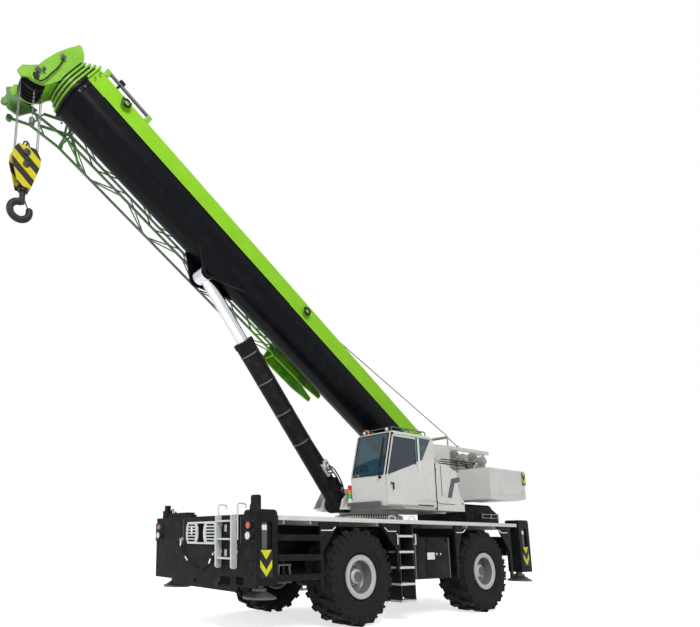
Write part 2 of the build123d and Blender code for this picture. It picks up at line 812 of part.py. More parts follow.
def cab_shell():
    """The hollow cab: walls, roof and floor, open at its windows and its door."""
    outer = side_cut(cab_outline(0), cab_inner_y, cab_outer_y)
    outer = fillet(outer.edges().filter_by(Axis.X).group_by(Axis.Z)[-1], 55)
    inner = side_cut(cab_outline(-cab_wall), cab_inner_y + cab_wall, cab_outer_y - cab_wall)
    shell = outer - inner
    windshield = front_cut(
        [(cab_inner_y + 70, 3040), (cab_outer_y - 70, 3040), (cab_outer_y - 80, 3890), (cab_inner_y + 80, 3890)],
        850, cab_front_x + 40,
    )
    hole = side_cut(door_outline(-40), cab_outer_y - cab_wall - 5, cab_outer_y + 5)
    rear_side = side_cut(
        [(185, 3380), (185, 3870), (-285, 3870), (-240, 3800), (-115, 3615), (-5, 3455), (50, 3425)],
        cab_outer_y - cab_wall - 5, cab_outer_y + 5,
    )
    right_side = side_cut(
        [(1080, 3060), (900, 3880), (-330, 3880), (-390, 3820), (-390, 3200)], cab_inner_y - 5, cab_inner_y + cab_wall + 5
    )
    roof = block(-100, 700, cab_inner_y + 180, cab_outer_y - 180, cab_roof_z - cab_wall - 5, cab_roof_z + 5)
    rear = block(cab_rear_x - 5, cab_rear_x + cab_wall + 5, cab_inner_y + 120, cab_outer_y - 120, 3250, 3820)
    shell = shell - windshield - hole - rear_side - right_side - roof - rear
    return fused([shell] + door_rails())


def door_outline(grow):
    """The door's side outline, moved outward by grow."""
    g = grow
    return [
        (1198 + g, door_low_z - g), (1203 + g, 3000), (965 + g, door_high_z + g), (door_rear_x - g, door_high_z + g),
        (door_rear_x - g, door_low_z - g),
    ]


def screen_x(z):
    """How far forward the windshield's line is at a height."""
    return cab_front_x + (screen_top_x - cab_front_x) * (z - screen_low_z) / (screen_top_z - screen_low_z)


def cab_glass():
    """The fixed panes, each seated on the wall round its opening."""
    panes = []
    y0 = cab_inner_y + 40
    y1 = cab_outer_y - 40
    low_z, high_z = 3010.0, 3940.0
    low_x = screen_x(low_z) + 0.3
    high_x = screen_x(high_z) + 0.3
    front = side_cut(
        [(low_x, low_z), (high_x, high_z), (high_x + glass_thickness, high_z), (low_x + glass_thickness, low_z)], y0, y1
    )
    panes.append(front)
    rear_side = side_cut(
        [(222, 3345), (222, 3908), (-345, 3908), (-280, 3813), (-148, 3622), (-22, 3421), (50, 3398)],
        cab_outer_y + 0.3, cab_outer_y + glass_thickness,
    )
    panes.append(rear_side)
    right_side = side_cut(
        [(1110, 3030), (920, 3910), (-350, 3910), (-420, 3840), (-420, 3170)],
        cab_inner_y - glass_thickness, cab_inner_y - 0.3,
    )
    panes.append(right_side)
    roof = block(-130, 730, cab_inner_y + 150, cab_outer_y - 150, cab_roof_z + 0.3, cab_roof_z + glass_thickness)
    panes.append(roof)
    return panes


def cab_door():
    """The sliding door's frame in front of the cab's side, with its window cut and its handle."""
    y0 = cab_outer_y + door_gap
    y1 = y0 + door_thickness
    leaf = side_cut(door_outline(30), y0, y1)
    window = side_cut(
        [(1165, 3050), (942, 3800), (door_rear_x + 40, 3800), (door_rear_x + 40, 3334)], y0 - 5, y1 + 5
    )
    leaf = leaf - window
    handle = bent_tube([(1090, y1 - 2, 2840), (1090, y1 + 38, 2840), (1090, y1 + 38, 2700), (1090, y1 - 2, 2700)], 16, 11)
    return leaf + handle


def cab_door_glass():
    """The door's pane, seated on the outside of its frame, its lower edge rising to the rear."""
    y0 = cab_outer_y + door_gap + door_thickness + 0.3
    return side_cut(
        [(1212, 3008), (972, 3836), (door_rear_x - 4, 3836), (door_rear_x - 4, 3318)], y0, y0 + glass_thickness
    )


def door_rails():
    """The lower and upper rails that carry the sliding door, on the cab's side."""
    rails = []
    for z in (2520.0, 3936.0):
        x0 = door_rear_x - door_travel - 60
        rails.append(block(x0, 1000, cab_outer_y + 9, cab_outer_y + 13, z - 12, z + 12))
        rails.append(block(x0, 1000, cab_outer_y, cab_outer_y + 13, z - 12, z - 6))
    return rails


def cab_seat():
    """The operator's seat on its console."""
    z0 = turret_bottom_z + turret_plate + cab_wall
    mid = (cab_inner_y + cab_outer_y) / 2
    console = block(0, 500, mid - 200, mid + 200, z0, 2800)
    cushion = block(-20, 520, mid - 260, mid + 260, 2800, 2930)
    cushion = fillet(cushion.edges().filter_by(Axis.Z), 60)
    back = side_cut([(60, 2900), (-120, 3560), (-10, 3580), (170, 2930)], mid - 250, mid + 250)
    return fused([console, cushion, back])


def turret_lamps():
    """The stack lamp at the cab's front corner, the work lamp and the beacon on the roof."""
    y = cab_inner_y - 94
    stack = rod((cab_front_x - 60, y, 2500), (cab_front_x - 60, y, 2850), 45)
    foot = block(cab_front_x - 90, cab_front_x - 30, y - 40, cab_inner_y, 2460, 2500)
    beacon = rod((-330, 1100, cab_roof_z), (-330, 1100, cab_roof_z + 90), 50)
    work = rod((850, 800, cab_roof_z), (850, 800, cab_roof_z + 110), 55)
    return [stack + foot, beacon, work]


# Boom, drawn along X from the foot pin and tilted to its elevation

def on_boom(shape):
    """Tilts a piece drawn along the boom's own line and sets it at the foot pin."""
    return Pos(foot_pin_x, 0, foot_pin_z) * Rot(0, -boom_elevation, 0) * shape


def boom_tube(index, grow):
    """The outline of telescope section number index, grown by grow: flat top, full round bottom."""
    shrink = section_step * (index - 1)
    width = boom_width - 2 * shrink + 2 * grow
    height = boom_height - 2 * shrink + 2 * grow
    outline = Rectangle(width, height)
    low = outline.vertices().group_by(Axis.Y)[0]
    outline = fillet(low, width * 0.44)
    high = outline.vertices().group_by(Axis.Y)[-1]
    outline = fillet(high, width * 0.06)
    return outline


def boom_run(index, start, end, grow_out, grow_in):
    """A stretch of hollow boom between two stations."""
    centre_h = boom_top_h - boom_height / 2
    frame = Plane(origin=(start, 0, centre_h), x_dir=(0, 1, 0), z_dir=(1, 0, 0))
    section = boom_tube(index, grow_out) - boom_tube(index, grow_in)
    return extrude(frame * section, amount=end - start, dir=(1, 0, 0))


def boom_core(index, start, end, grow):
    """The solid inside of a stretch of boom."""
    centre_h = boom_top_h - boom_height / 2
    frame = Plane(origin=(start, 0, centre_h), x_dir=(0, 1, 0), z_dir=(1, 0, 0))
    return extrude(frame * boom_tube(index, grow), amount=end - start, dir=(1, 0, 0))


def section_end(index):
    """Where a section's front end lies along the boom."""
    return boom_base_end + collar_pitch * (index - 1)


def collar(index):
    """The rib round a section's front end, its two top pads, and the wear band that guides the next section."""
    end = section_end(index)
    ring = boom_run(index, end - collar_length, end, collar_proud, -boom_wall)
    band = boom_run(index, end - guide_length, end - 8, -boom_wall + 1, -section_step + seat_gap)
    top = boom_top_h - section_step * (index - 1)
    pad_y = boom_width / 2 - section_step * (index - 1) - 150
    pads = [block(end - collar_length, end, y - 55, y + 55, top, top + pad_height) for y in (-pad_y, pad_y)]
    return fused([ring, band] + pads)


def boom_base():
    """The base section with its foot, its collar and the lugs that take the lift cylinder's rod."""
    tube = boom_run(1, 700, boom_base_end - 5, 0, -boom_wall)
    belly = boom_top_h - boom_height
    foot_points = [
        (900, boom_top_h), (900, belly + 40), (300, belly + 180), (-180, -330), (-300, -120), (-300, 80),
        (-180, boom_top_h - 30), (0, boom_top_h),
    ]
    foot = side_cut(foot_points, -boom_width / 2, boom_width / 2)
    foot = foot - side_cut([(1000, -400), (1000, 200), (400, 200), (400, -400)], -boom_width / 2 + 60, boom_width / 2 - 60)
    lug_low = rod_pin_h - 185
    pieces = [tube, foot, collar(1)]
    for side in (1, -1):
        y0 = side * lug_inner_y
        y1 = side * (lug_inner_y + lug_thickness_y)
        outline = [
            Polyline(
                (rod_pin_s - 150, y0, rod_pin_h - 110), (rod_pin_s - 900, y0, belly + 50), (rod_pin_s - 900, y0, belly + 160),
                (rod_pin_s + 560, y0, belly + 160), (rod_pin_s + 560, y0, belly + 50), (rod_pin_s + 150, y0, rod_pin_h - 110),
            ),
            ThreePointArc(
                (rod_pin_s + 150, y0, rod_pin_h - 110), (rod_pin_s, y0, lug_low), (rod_pin_s - 150, y0, rod_pin_h - 110)
            ),
        ]
        pieces.append(extrude(make_face(outline), amount=abs(y1 - y0), dir=(0, side, 0)))
        boss_y = side * (rod_eye_half + 7)
        pieces.append(rod((rod_pin_s, boss_y, rod_pin_h), (rod_pin_s, y0, rod_pin_h), 125))
        pieces.append(rod((rod_pin_s, y1, rod_pin_h), (rod_pin_s, y1 + side * 30, rod_pin_h), 105))
    body = fused(pieces + boom_fittings())
    inside = boom_core(1, 700, boom_base_end - guide_length - 5, -boom_wall)
    foot_bore = rod((0, -600, 0), (0, 600, 0), foot_pin_radius)
    return on_boom(body - inside - foot_bore)


def boom_fittings():
    """The base section's outside fittings: the long side rail and two round hose guides."""
    side = boom_width / 2
    pieces = [block(6170, 11650, side - 2, side + 12, -176, -160)]
    for s_at, h_at in ((11317, 96), (5753, 20)):
        pieces.append(rod((s_at, side - 5, h_at), (s_at, side + 42, h_at), 72))
        pieces.append(rod((s_at, side + 42, h_at), (s_at, side + 52, h_at), 88))
    return pieces


def boom_section(index):
    """A telescope section from its rear end inside the base to its own collar."""
    start = 1050 + 60 * index
    tube = boom_run(index, start, section_end(index) - 5, 0, -boom_wall)
    return on_boom(tube + collar(index))


def head_cheek(side):
    """One curved side plate of the boom's head: a hump over the top, a long front and a horn below the sheaves."""
    end = section_end(5)
    front = end + head_length
    top = boom_top_h - 4 * section_step
    low = boom_top_h - boom_height + 4 * section_step
    low_s, low_h = sheave_axes()[1]
    y0 = side * (boom_width / 2 - 4 * section_step)
    nose = [
        (front + 15, low_h + 240), (front + 105, low_h + 60), (front + 165, low_h - 40), (front + 150, low_h - 190),
        (front + 45, low_h - 230), (low_s + 70, low_h - 130),
    ]
    outline = [
        Line((end - 60, y0, top - 20), (end - 40, y0, top + 120)),
        ThreePointArc((end - 40, y0, top + 120), (end + 70, y0, top + 270), (end + 200, y0, top + 340)),
        ThreePointArc((end + 200, y0, top + 340), (front - 12, y0, low_h + 800), (front + 15, y0, low_h + 240)),
        Polyline(*[(s_at, y0, h_at) for s_at, h_at in nose]),
        ThreePointArc(
            (low_s + 70, y0, low_h - 130), (low_s - 150, y0, low_h - 20), (end - 12, y0, low_h + 225)
        ),
        Polyline((end - 12, y0, low_h + 225), (end - 60, y0, low + 60), (end - 60, y0, top - 20)),
    ]
    plate = extrude(make_face(outline), amount=cheek_thickness, dir=(0, -side, 0))
    rim_edge = rod(
        (low_s, y0, low_h), (low_s, y0 + side * 22, low_h), 115
    )
    return plate + rim_edge


def boom_head():
    """The last section with the head's cheek plates, its cross ties and the upper rope sheave."""
    start = 1050 + 60 * 5
    end = section_end(5)
    front = end + head_length
    top = boom_top_h - 4 * section_step
    half = boom_width / 2 - 4 * section_step
    tube = boom_run(5, start, end, 0, -boom_wall)
    rib = boom_run(5, end - collar_length, end, collar_proud, -boom_wall)
    bulkhead = boom_core(5, end - 40, end - 16, 1 - boom_wall)
    ties = [
        rod((end + 190, -half, top + 270), (end + 190, half, top + 270), 45),
        rod((front - 75, -half, -150), (front - 75, half, -150), 45),
        rod((end + 60, -half, -330), (end + 60, half, -330), 40),
    ]
    body = fused([tube, rib, bulkhead, head_cheek(1), head_cheek(-1), top_sheave()] + ties)
    low_s, low_h = sheave_axes()[1]
    return on_boom(body - rod((low_s, -half - 60, low_h), (low_s, half + 60, low_h), 60))


def sheave_axes():
    """The two cross axes of the head: the upper rope sheave and the lower falls sheaves."""
    end = section_end(5)
    top = boom_top_h - 4 * section_step
    return [(end + 95, top + 145), (end + head_sheave_reach, -head_sheave_drop)]


def grooved_sheave(s_at, y, h_at):
    """A rope sheave: a drum with a flange each side of its groove."""
    core = rod((s_at, y - sheave_half_width, h_at), (s_at, y + sheave_half_width, h_at), sheave_radius)
    flanges = []
    for side in (1, -1):
        y0 = y + side * sheave_half_width
        flanges.append(rod((s_at, y0, h_at), (s_at, y0 + side * 6, h_at), fall_offset + sheave_flange))
    return fused([core] + flanges)


def head_sheaves():
    """The lower sheaves on their pin, which the hook block's falls run over."""
    half = boom_width / 2 - 4 * section_step
    low_s, low_h = sheave_axes()[1]
    mid = (front_fall_y + rear_fall_y) / 2
    pin = rod((low_s, -half - 40, low_h), (low_s, half + 40, low_h), 60 - running_clearance)
    wheels = [grooved_sheave(low_s, y, low_h) for y in (-mid - 82, -mid, mid, mid + 82)]
    return on_boom(fused([pin] + wheels))


def top_sheave():
    """The rope's lead-in sheave on the head's upper pin."""
    half = boom_width / 2 - 4 * section_step
    top_s, top_h = sheave_axes()[0]
    pin = rod((top_s, -half, top_h), (top_s, half, top_h), 50)
    wheels = [rod((top_s, y - 24, top_h), (top_s, y + 24, top_h), 150) for y in (-90, 90)]
    return fused([pin] + wheels)


def jib():
    """The stowed lattice extension on the boom's far side, its base fork forward and its tip to the rear."""
    y_in = -boom_width / 2 - jib_gap
    y_out = y_in - jib_width
    s0 = jib_tip_s
    s1 = boom_base_end - 290
    chord = 30.0
    lace = 15.0
    bays = 8

    def at(index, y, upper):
        t = index / bays
        s = s0 + (s1 - s0) * t
        h = -170 - 45 * t if upper else -605 - 60 * t
        return (s, y, h)

    low_s, low_h = sheave_axes()[1]
    pieces = []
    fork_in = (low_s + 250, y_in, low_h - 215)
    fork_out = (low_s + 90, y_out, low_h - 130)
    for y, fork in ((y_in, fork_in), (y_out, fork_out)):
        top_path = [at(0, y, True), at(bays, y, True), (s1 + 520, y, -640)]
        low_path = [at(0, y, False), at(bays, y, False), (s1 + 620, y, -790), fork]
        for path in (top_path, low_path):
            for start, end in zip(path, path[1:]):
                pieces.append(hex_bar(start, end, chord))
        pieces.append(rod((fork[0], y - 38, fork[2]), (fork[0], y + 38, fork[2]), 62))
    for index in range(bays):
        flip = index % 2 == 0
        for y in (y_in, y_out):
            pieces.append(hex_bar(at(index + 0.06, y, flip), at(index + 0.94, y, not flip), lace))
        for upper in (True, False):
            ya, yb = (y_in, y_out) if flip else (y_out, y_in)
            pieces.append(hex_bar(at(index + 0.1, ya, upper), at(index + 0.9, yb, upper), lace))
    for index in (0.02, bays - 0.02):
        for upper in (True, False):
            pieces.append(hex_bar(at(index, y_in, upper), at(index, y_out, upper), lace + 5))
        for y in (y_in, y_out):
            pieces.append(hex_bar(at(index, y, True), at(index, y, False), lace + 7))
    for start, end in (
        ((s1 + 520, y_in, -660), (s1 + 600, y_out, -790)), ((s1 + 620, y_in, -790), (s1 + 300, y_out, -720)),
    ):
        pieces.append(hex_bar(start, end, lace + 3))
    fork_plate = [
        (low_s - 210, low_h + 200), (low_s + 60, low_h + 140), (low_s + 190, low_h + 180), (low_s + 360, low_h + 140),
        (low_s + 410, low_h + 50), (low_s + 320, low_h - 60), (low_s + 300, low_h - 215), (low_s + 120, low_h - 270),
        (low_s - 80, low_h - 220),
    ]
    pieces.append(side_cut(fork_plate, y_in - 22, y_in + 22))
    pieces.append(rod((low_s + 110, y_in - 60, low_h - 40), (low_s + 110, y_in + 45, low_h - 40), 120))
    tip_points = [
        (s0 + 90, -120), (s0 + 90, -655), (s0 - 1050, -640), (s0 - 1650, -560), (s0 - 1650, -450), (s0 - 1050, -330),
    ]
    pieces.extend(side_cut(tip_points, y - 21, y + 21) for y in (y_in, y_out))
    pieces.append(side_cut([(s0 + 30, -150), (s0 - 950, -350), (s0 - 950, -385), (s0 + 30, -185)], y_out, y_in))
    for s_at in (s0 + 850, s1 - 700):
        h = -170 - 45 * (s_at - s0) / (s1 - s0)
        pieces.append(block(s_at - 40, s_at + 40, y_in - 10, -boom_width / 2 - seat_gap, h - 30, h + 60))
    brace_top = (boom_base_end - 160, -boom_width / 2 - 60, -400)
    pieces.append(block(brace_top[0] - 40, brace_top[0] + 40, -boom_width / 2 - 90, -boom_width / 2 - seat_gap, -440, -360))
    pieces.append(hex_bar(brace_top, at(bays - 0.1, y_out, False), 26))
    pieces.append(hex_bar(brace_top, at(bays - 0.7, y_out, False), 26))
    return on_boom(fused(pieces))


def boom_foot_pin():
    """The pin that the boom turns on."""
    y = turret_half_width + 30
    return rod((foot_pin_x, -y, foot_pin_z), (foot_pin_x, y, foot_pin_z), foot_pin_radius - running_clearance)


# Lift cylinder, drawn along X from its foot pin and tilted towards the rod's pin

def boom_point(s, h, luff):
    """A point of the boom's own frame in the slewing plane after luffing from rest."""
    angle = radians(boom_elevation + luff)
    x = foot_pin_x + s * cos(angle) - h * sin(angle)
    z = foot_pin_z + s * sin(angle) + h * cos(angle)
    return x, z


def cylinder_state(luff):
    """The cylinder's angle above horizontal and its pin-to-pin length after luffing from rest."""
    x, z = boom_point(rod_pin_s, rod_pin_h, luff)
    dx = x - cylinder_foot_x
    dz = z - cylinder_foot_z
    return degrees(atan2(dz, dx)), hypot(dx, dz)


cylinder_angle, cylinder_length = cylinder_state(0.0)


def on_cylinder(shape):
    """Sets a piece drawn along the cylinder's own line at its foot pin."""
    return Pos(cylinder_foot_x, 0, cylinder_foot_z) * Rot(0, -cylinder_angle, 0) * shape


def lift_foot_pin():
    """The pin under the cylinder's foot."""
    return rod(
        (cylinder_foot_x, -365, cylinder_foot_z), (cylinder_foot_x, 365, cylinder_foot_z),
        lift_pin_radius - running_clearance,
    )


def lift_barrel():
    """The barrel with its foot eye, gland and valve block."""
    tube = rod((200, 0, 0), (barrel_length, 0, 0), barrel_radius)
    eye = rod((0, -260, 0), (0, 260, 0), 190)
    neck = block(0, 300, -150, 150, -150, 150)
    gland = rod((barrel_length - 120, 0, 0), (barrel_length, 0, 0), barrel_radius + 15)
    valve = block(420, 700, 200, 320, -110, 110)
    bore = rod((rod_closed_gap - 10, 0, 0), (barrel_length - 80, 0, 0), barrel_bore)
    mouth = rod((barrel_length - 100, 0, 0), (barrel_length + 10, 0, 0), lift_rod_radius + 0.3)
    pin_bore = rod((0, -300, 0), (0, 300, 0), lift_pin_radius)
    return on_cylinder(fused([tube, eye, neck, gland, valve]) - bore - mouth - pin_bore)


low_angle, low_length = cylinder_state(luff_low)
high_angle, high_length = cylinder_state(luff_high)
rod_inner_end = cylinder_length - (low_length - rod_closed_gap)
piston_start = rod_inner_end - piston_length - 5.0


def lift_piston():
    """The guide ring on the rod's inner end, out of sight in the barrel."""
    ring = rod((piston_start, 0, 0), (piston_start + piston_length, 0, 0), barrel_bore - 0.3)
    ring = ring - rod((piston_start - 5, 0, 0), (rod_inner_end, 0, 0), lift_rod_radius + 0.3)
    return on_cylinder(ring)


def lift_rod():
    """The chromed rod with its eye, which hangs between the lugs' bosses."""
    bar = rod((rod_inner_end, 0, 0), (cylinder_length - 60, 0, 0), lift_rod_radius)
    eye = rod((cylinder_length, -rod_eye_half, 0), (cylinder_length, rod_eye_half, 0), rod_eye_radius)
    return on_cylinder(fused([bar, eye]))


# Hook block, drawn plumb below the lower head sheaves

def hook_place():
    """The plumb line's x and the height of the head's lower sheave axis at rest."""
    upper, lower = sheave_axes()
    return boom_point(lower[0], lower[1], 0.0)


def rope_falls():
    """The rope falls between the head sheaves and the block's sheaves, drawn taut."""
    x, z = hook_place()
    falls = []
    for side, fall_y in ((1, front_fall_y), (-1, rear_fall_y)):
        for y in (-fall_y, fall_y):
            at = x + side * fall_offset
            falls.append(rod((at, y, z), (at, y, z - fall_length), rope_radius))
    return falls


def block_sheave(x, y, z):
    """A sheave of the hook block, drawn upright."""
    core = rod((x, y - sheave_half_width, z), (x, y + sheave_half_width, z), sheave_radius)
    flanges = []
    for side in (1, -1):
        y0 = y + side * sheave_half_width
        flanges.append(rod((x, y0, z), (x, y0 + side * 6, z), fall_offset + sheave_flange))
    return fused([core] + flanges)


def hook_block():
    """The block's tapered cheek plates, its sheaves, the cross tie of the swivel and the becket ring."""
    x, z = hook_place()
    axle_z = z - fall_length
    mid = (front_fall_y + rear_fall_y) / 2
    inner = mid + sheave_half_width + 14
    points = [
        (x - 155, axle_z + 260), (x + 155, axle_z + 260), (x + 245, axle_z + 100), (x + 245, axle_z - 60),
        (x + 110, axle_z - block_drop), (x - 110, axle_z - block_drop), (x - 245, axle_z - 60), (x - 245, axle_z + 100),
    ]
    cheeks = [side_cut(points, s * inner, s * (inner + 22)) for s in (1, -1)]
    axle_pin = rod((x, -inner - 40, axle_z), (x, inner + 40, axle_z), 45)
    wheels = [block_sheave(x, y, axle_z) for y in (-mid, mid)]
    tie = block(x - 95, x + 95, -inner, inner, axle_z - block_drop + 20, axle_z - block_drop + 140)
    bar = rod((x, -inner, axle_z + 228), (x, inner, axle_z + 228), 24)
    ring = Pos(x, 0, axle_z + 300) * Rot(0, 90, 90) * Torus(62, 14)
    return fused(cheeks + [axle_pin, tie, bar, ring] + wheels)


def hook_top():
    """The height of the underside of the block's cross tie, which the hook's shank turns in."""
    x, z = hook_place()
    return z - fall_length - block_drop + 20


def hook():
    """The forged hook on its shank, with its safety latch closed."""
    x, z = hook_place()
    low = hook_top()
    shank = rod((x, 0, low - 290), (x, 0, low - seat_gap), 52)
    nut = rod((x, 0, low - 70), (x, 0, low - seat_gap), 82)
    eye_z = low - hook_reach
    tip = (x + 25 - hook_bowl_radius, 0, eye_z + 30)
    path = ThreePointArc((x - 5, 0, eye_z + hook_bowl_radius - 4), (x + 25 + hook_bowl_radius, 0, eye_z), tip)
    section = Plane(origin=path @ 0, z_dir=path % 0) * Circle(hook_thickness)
    bowl = sweep(section, path=path)
    point = Pos(*tip) * Sphere(hook_thickness)
    latch = rod((x - 35, 0, low - 190), (tip[0] + 20, 0, tip[2] + 20), 11)
    return fused([shank, nut, bowl, point, latch])


# Build and write

def save(name, shape):
    """Writes one named piece in the part's frame."""
    solids = shape if isinstance(shape, list) else [shape]
    placed = [Pos(slew_axis_x, 0, 0) * solid for solid in solids]
    flat = []
    for solid in placed:
        flat.extend(solid.solids())
    whole = flat[0] if len(flat) == 1 else Compound(children=flat)
    export_step(whole, f"parts/{name}.step")


def build():
    """Makes every piece and writes it."""
    wheel_tyre = tyre()
    wheel_rim = rim()
    wheel_knuckle = knuckle()
    for name, axle_x, side in wheel_places():
        save(f"tyre_{name}", place_wheel(wheel_tyre, axle_x, side))
        save(f"rim_{name}", place_wheel(wheel_rim, axle_x, side))
        turned = wheel_knuckle if side > 0 else Rot(0, 0, 180) * wheel_knuckle
        save(f"knuckle_{name}", Pos(axle_x, side * kingpin_y, tyre_diameter / 2) * turned)
    save("axle_front", axle(wheelbase / 2, frame_bottom_z))
    save("axle_rear", axle(-wheelbase / 2, frame_bottom_z))
    save("outrigger_boxes", [outrigger_box(front_jack_x), outrigger_box(rear_jack_x)])
    for end, jack_x in (("front", front_jack_x), ("rear", rear_jack_x)):
        for side_name, side, lane in (("left", 1, 1), ("right", -1, -1)):
            save(f"outrigger_beam_{end}_{side_name}", outrigger_beam(jack_x, side, lane))
            save(f"outrigger_jack_{end}_{side_name}", outrigger_jack(jack_x, side))
    save("chassis_frame", chassis_frame())
    save("slewing_ring", slewing_ring())
    save("deck", deck())
    save("front_panel", front_panel())
    save("grille", grille())
    save("ladders", ladders())
    save("mudguards", mudguards())
    save("side_tanks", side_tanks())
    save("engine_hood", engine_hood())
    save("engine_block", engine_block())
    save("rear_bumper", rear_bumper())
    save("lamps_and_mirrors", lamps_and_mirrors())
    save("turret_frame", turret_frame())
    save("winches", winches() + [rope_roller()])
    save("counterweight", counterweight())
    save("body_panel", body_panel())
    save("cab_shell", cab_shell())
    save("cab_glass", cab_glass())
    save("cab_door", cab_door())
    save("cab_door_glass", cab_door_glass())
    save("cab_seat", cab_seat())
    save("turret_lamps", turret_lamps())
    save("boom_foot_pin", boom_foot_pin())
    save("boom_base", boom_base())
    for index in (2, 3, 4):
        save(f"boom_section_{index}", boom_section(index))
    save("boom_section_5", boom_head())
    save("head_sheaves", head_sheaves())
    save("jib", jib())
    save("lift_foot_pin", lift_foot_pin())
    save("lift_barrel", lift_barrel())
    save("lift_piston", lift_piston())
    save("lift_rod", lift_rod())
    save("rope_falls", rope_falls())
    save("hook_block", hook_block())
    save("hook", hook())


build()
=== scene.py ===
# %% [markdown]
# # A two-axle mobile crane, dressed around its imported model
# The crane is 13.7 m long and stands parked, with its boom raised to 33.6 degrees and its hook block hanging free.
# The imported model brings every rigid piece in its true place. This lesson gives each one its finish, adds the small
# pieces that are too fine for the solid model, and lights the whole as a catalogue picture would.

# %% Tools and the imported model
import math
import bpy
import bmesh
from mathutils import Matrix, Vector


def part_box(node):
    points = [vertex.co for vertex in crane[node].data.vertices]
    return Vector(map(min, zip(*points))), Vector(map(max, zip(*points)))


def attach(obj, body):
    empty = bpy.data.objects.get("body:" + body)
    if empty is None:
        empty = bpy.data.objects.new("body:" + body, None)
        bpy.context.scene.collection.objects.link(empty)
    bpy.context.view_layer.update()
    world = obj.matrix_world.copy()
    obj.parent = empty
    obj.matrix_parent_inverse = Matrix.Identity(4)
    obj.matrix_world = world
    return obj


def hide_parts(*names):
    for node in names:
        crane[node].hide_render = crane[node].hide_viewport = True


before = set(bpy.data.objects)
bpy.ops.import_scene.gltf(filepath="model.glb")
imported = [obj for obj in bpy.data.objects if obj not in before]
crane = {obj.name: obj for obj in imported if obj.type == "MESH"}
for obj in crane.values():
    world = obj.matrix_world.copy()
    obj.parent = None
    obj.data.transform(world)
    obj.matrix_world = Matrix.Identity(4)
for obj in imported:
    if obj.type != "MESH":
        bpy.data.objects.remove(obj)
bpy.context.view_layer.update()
both_sides = ((1, "left"), (-1, "right"))
ahead, leftward, upward = (1, 0, 0), (0, 1, 0), (0, 0, 1)


def add_object(name, data):
    """Puts a mesh, a curve, a lamp or a camera into the scene."""
    item = bpy.data.objects.new(name, data)
    bpy.context.scene.collection.objects.link(item)
    return item


# %% [markdown]
# ## The camera
# The picture of such a crane is taken from the front left at eye height, close enough that the boom's head looms.
# A camera could be placed by trial, but its place and lens were measured from the wheels and the deck edges.
# The view is wider above than below, which a lens shift gives without tilting the upright lines.

# %% Camera
eye = Vector((8.554, 9.465, 1.676))
heading, pitch, roll = -2.16916, 0.18717, 0.00736
forward = Vector((math.cos(heading) * math.cos(pitch), math.sin(heading) * math.cos(pitch), math.sin(pitch)))
level_right = Vector((math.sin(heading), -math.cos(heading), 0.0))
level_up = level_right.cross(forward)
right = math.cos(roll) * level_right + math.sin(roll) * level_up
up = math.cos(roll) * level_up - math.sin(roll) * level_right
camera = add_object("Camera", bpy.data.cameras.new("Camera"))
camera.matrix_world = Matrix((
    (right.x, up.x, -forward.x, eye.x), (right.y, up.y, -forward.y, eye.y), (right.z, up.z, -forward.z, eye.z),
    (0, 0, 0, 1)))
camera.data.sensor_fit = "HORIZONTAL"
camera.data.sensor_width = 36.0
camera.data.lens = 28.97
camera.data.shift_x = 0.1801
camera.data.shift_y = 0.1676
camera.data.clip_end = 200.0
bpy.context.scene.camera = camera
print("camera at", [round(v, 3) for v in eye], "lens", camera.data.lens)

# %% [markdown]
# ## Floor and light
# A catalogue picture is cut out on white. A white world seen by the camera, by mirrors and through glass gives
# that, while the light that falls on the crane stays soft and plain. The floor is pale and keeps the shadow under
# the tyres.

# %% World
def seen_directly(tree):
    """1 for what the camera sees, also in a mirror or through glass, and 0 for light that falls on the crane."""
    path = tree.nodes.new("ShaderNodeLightPath")
    seen = path.outputs["Is Camera Ray"]
    for other in ("Is Glossy Ray", "Is Transmission Ray"):
        either = tree.nodes.new("ShaderNodeMath")
        either.operation = "MAXIMUM"
        tree.links.new(seen, either.inputs[0])
        tree.links.new(path.outputs[other], either.inputs[1])
        seen = either.outputs[0]
    return seen


def white_world(light):
    """A world that is white to look at and shines on the crane with a plain grey light."""
    world = bpy.data.worlds.new("studio")
    world.use_nodes = True
    tree = world.node_tree
    link = tree.links.new
    shown = tree.nodes["Background"]
    shine = tree.nodes.new("ShaderNodeBackground")
    for shade, colour, strength in ((shown, (1, 1, 1, 1), 1.0), (shine, (0.93, 0.96, 1.0, 1), light)):
        shade.inputs["Color"].default_value = colour
        shade.inputs["Strength"].default_value = strength
    mix = tree.nodes.new("ShaderNodeMixShader")
    link(seen_directly(tree), mix.inputs[0])
    link(shine.outputs[0], mix.inputs[1])
    link(shown.outputs[0], mix.inputs[2])
    link(mix.outputs[0], tree.nodes["World Output"].inputs["Surface"])
    return world


bpy.context.scene.world = white_world(0.42)
bpy.context.scene.view_settings.view_transform = "Standard"
print("world ready")


# %% Lamps
def soft_lamp(name, place, target, size, watts, tint=(1, 1, 1)):
    """A square area lamp that looks at a point of the crane."""
    data = bpy.data.lights.new(name, "AREA")
    data.size = size
    data.energy = watts
    data.color = tint
    lamp = add_object(name, data)
    lamp.location = place
    aim = Vector(target) - Vector(place)
    lamp.rotation_euler = aim.to_track_quat("-Z", "Y").to_euler()


soft_lamp("key_lamp", (9, 16, 17), (0, 0, 3), 9.0, 3500, (1.0, 0.99, 0.97))
soft_lamp("side_lamp", (20, -2, 9), (1, 0, 3), 8.0, 1000, (0.96, 0.98, 1.0))
soft_lamp("rear_lamp", (-16, -12, 14), (0, 0, 4), 9.0, 1150)


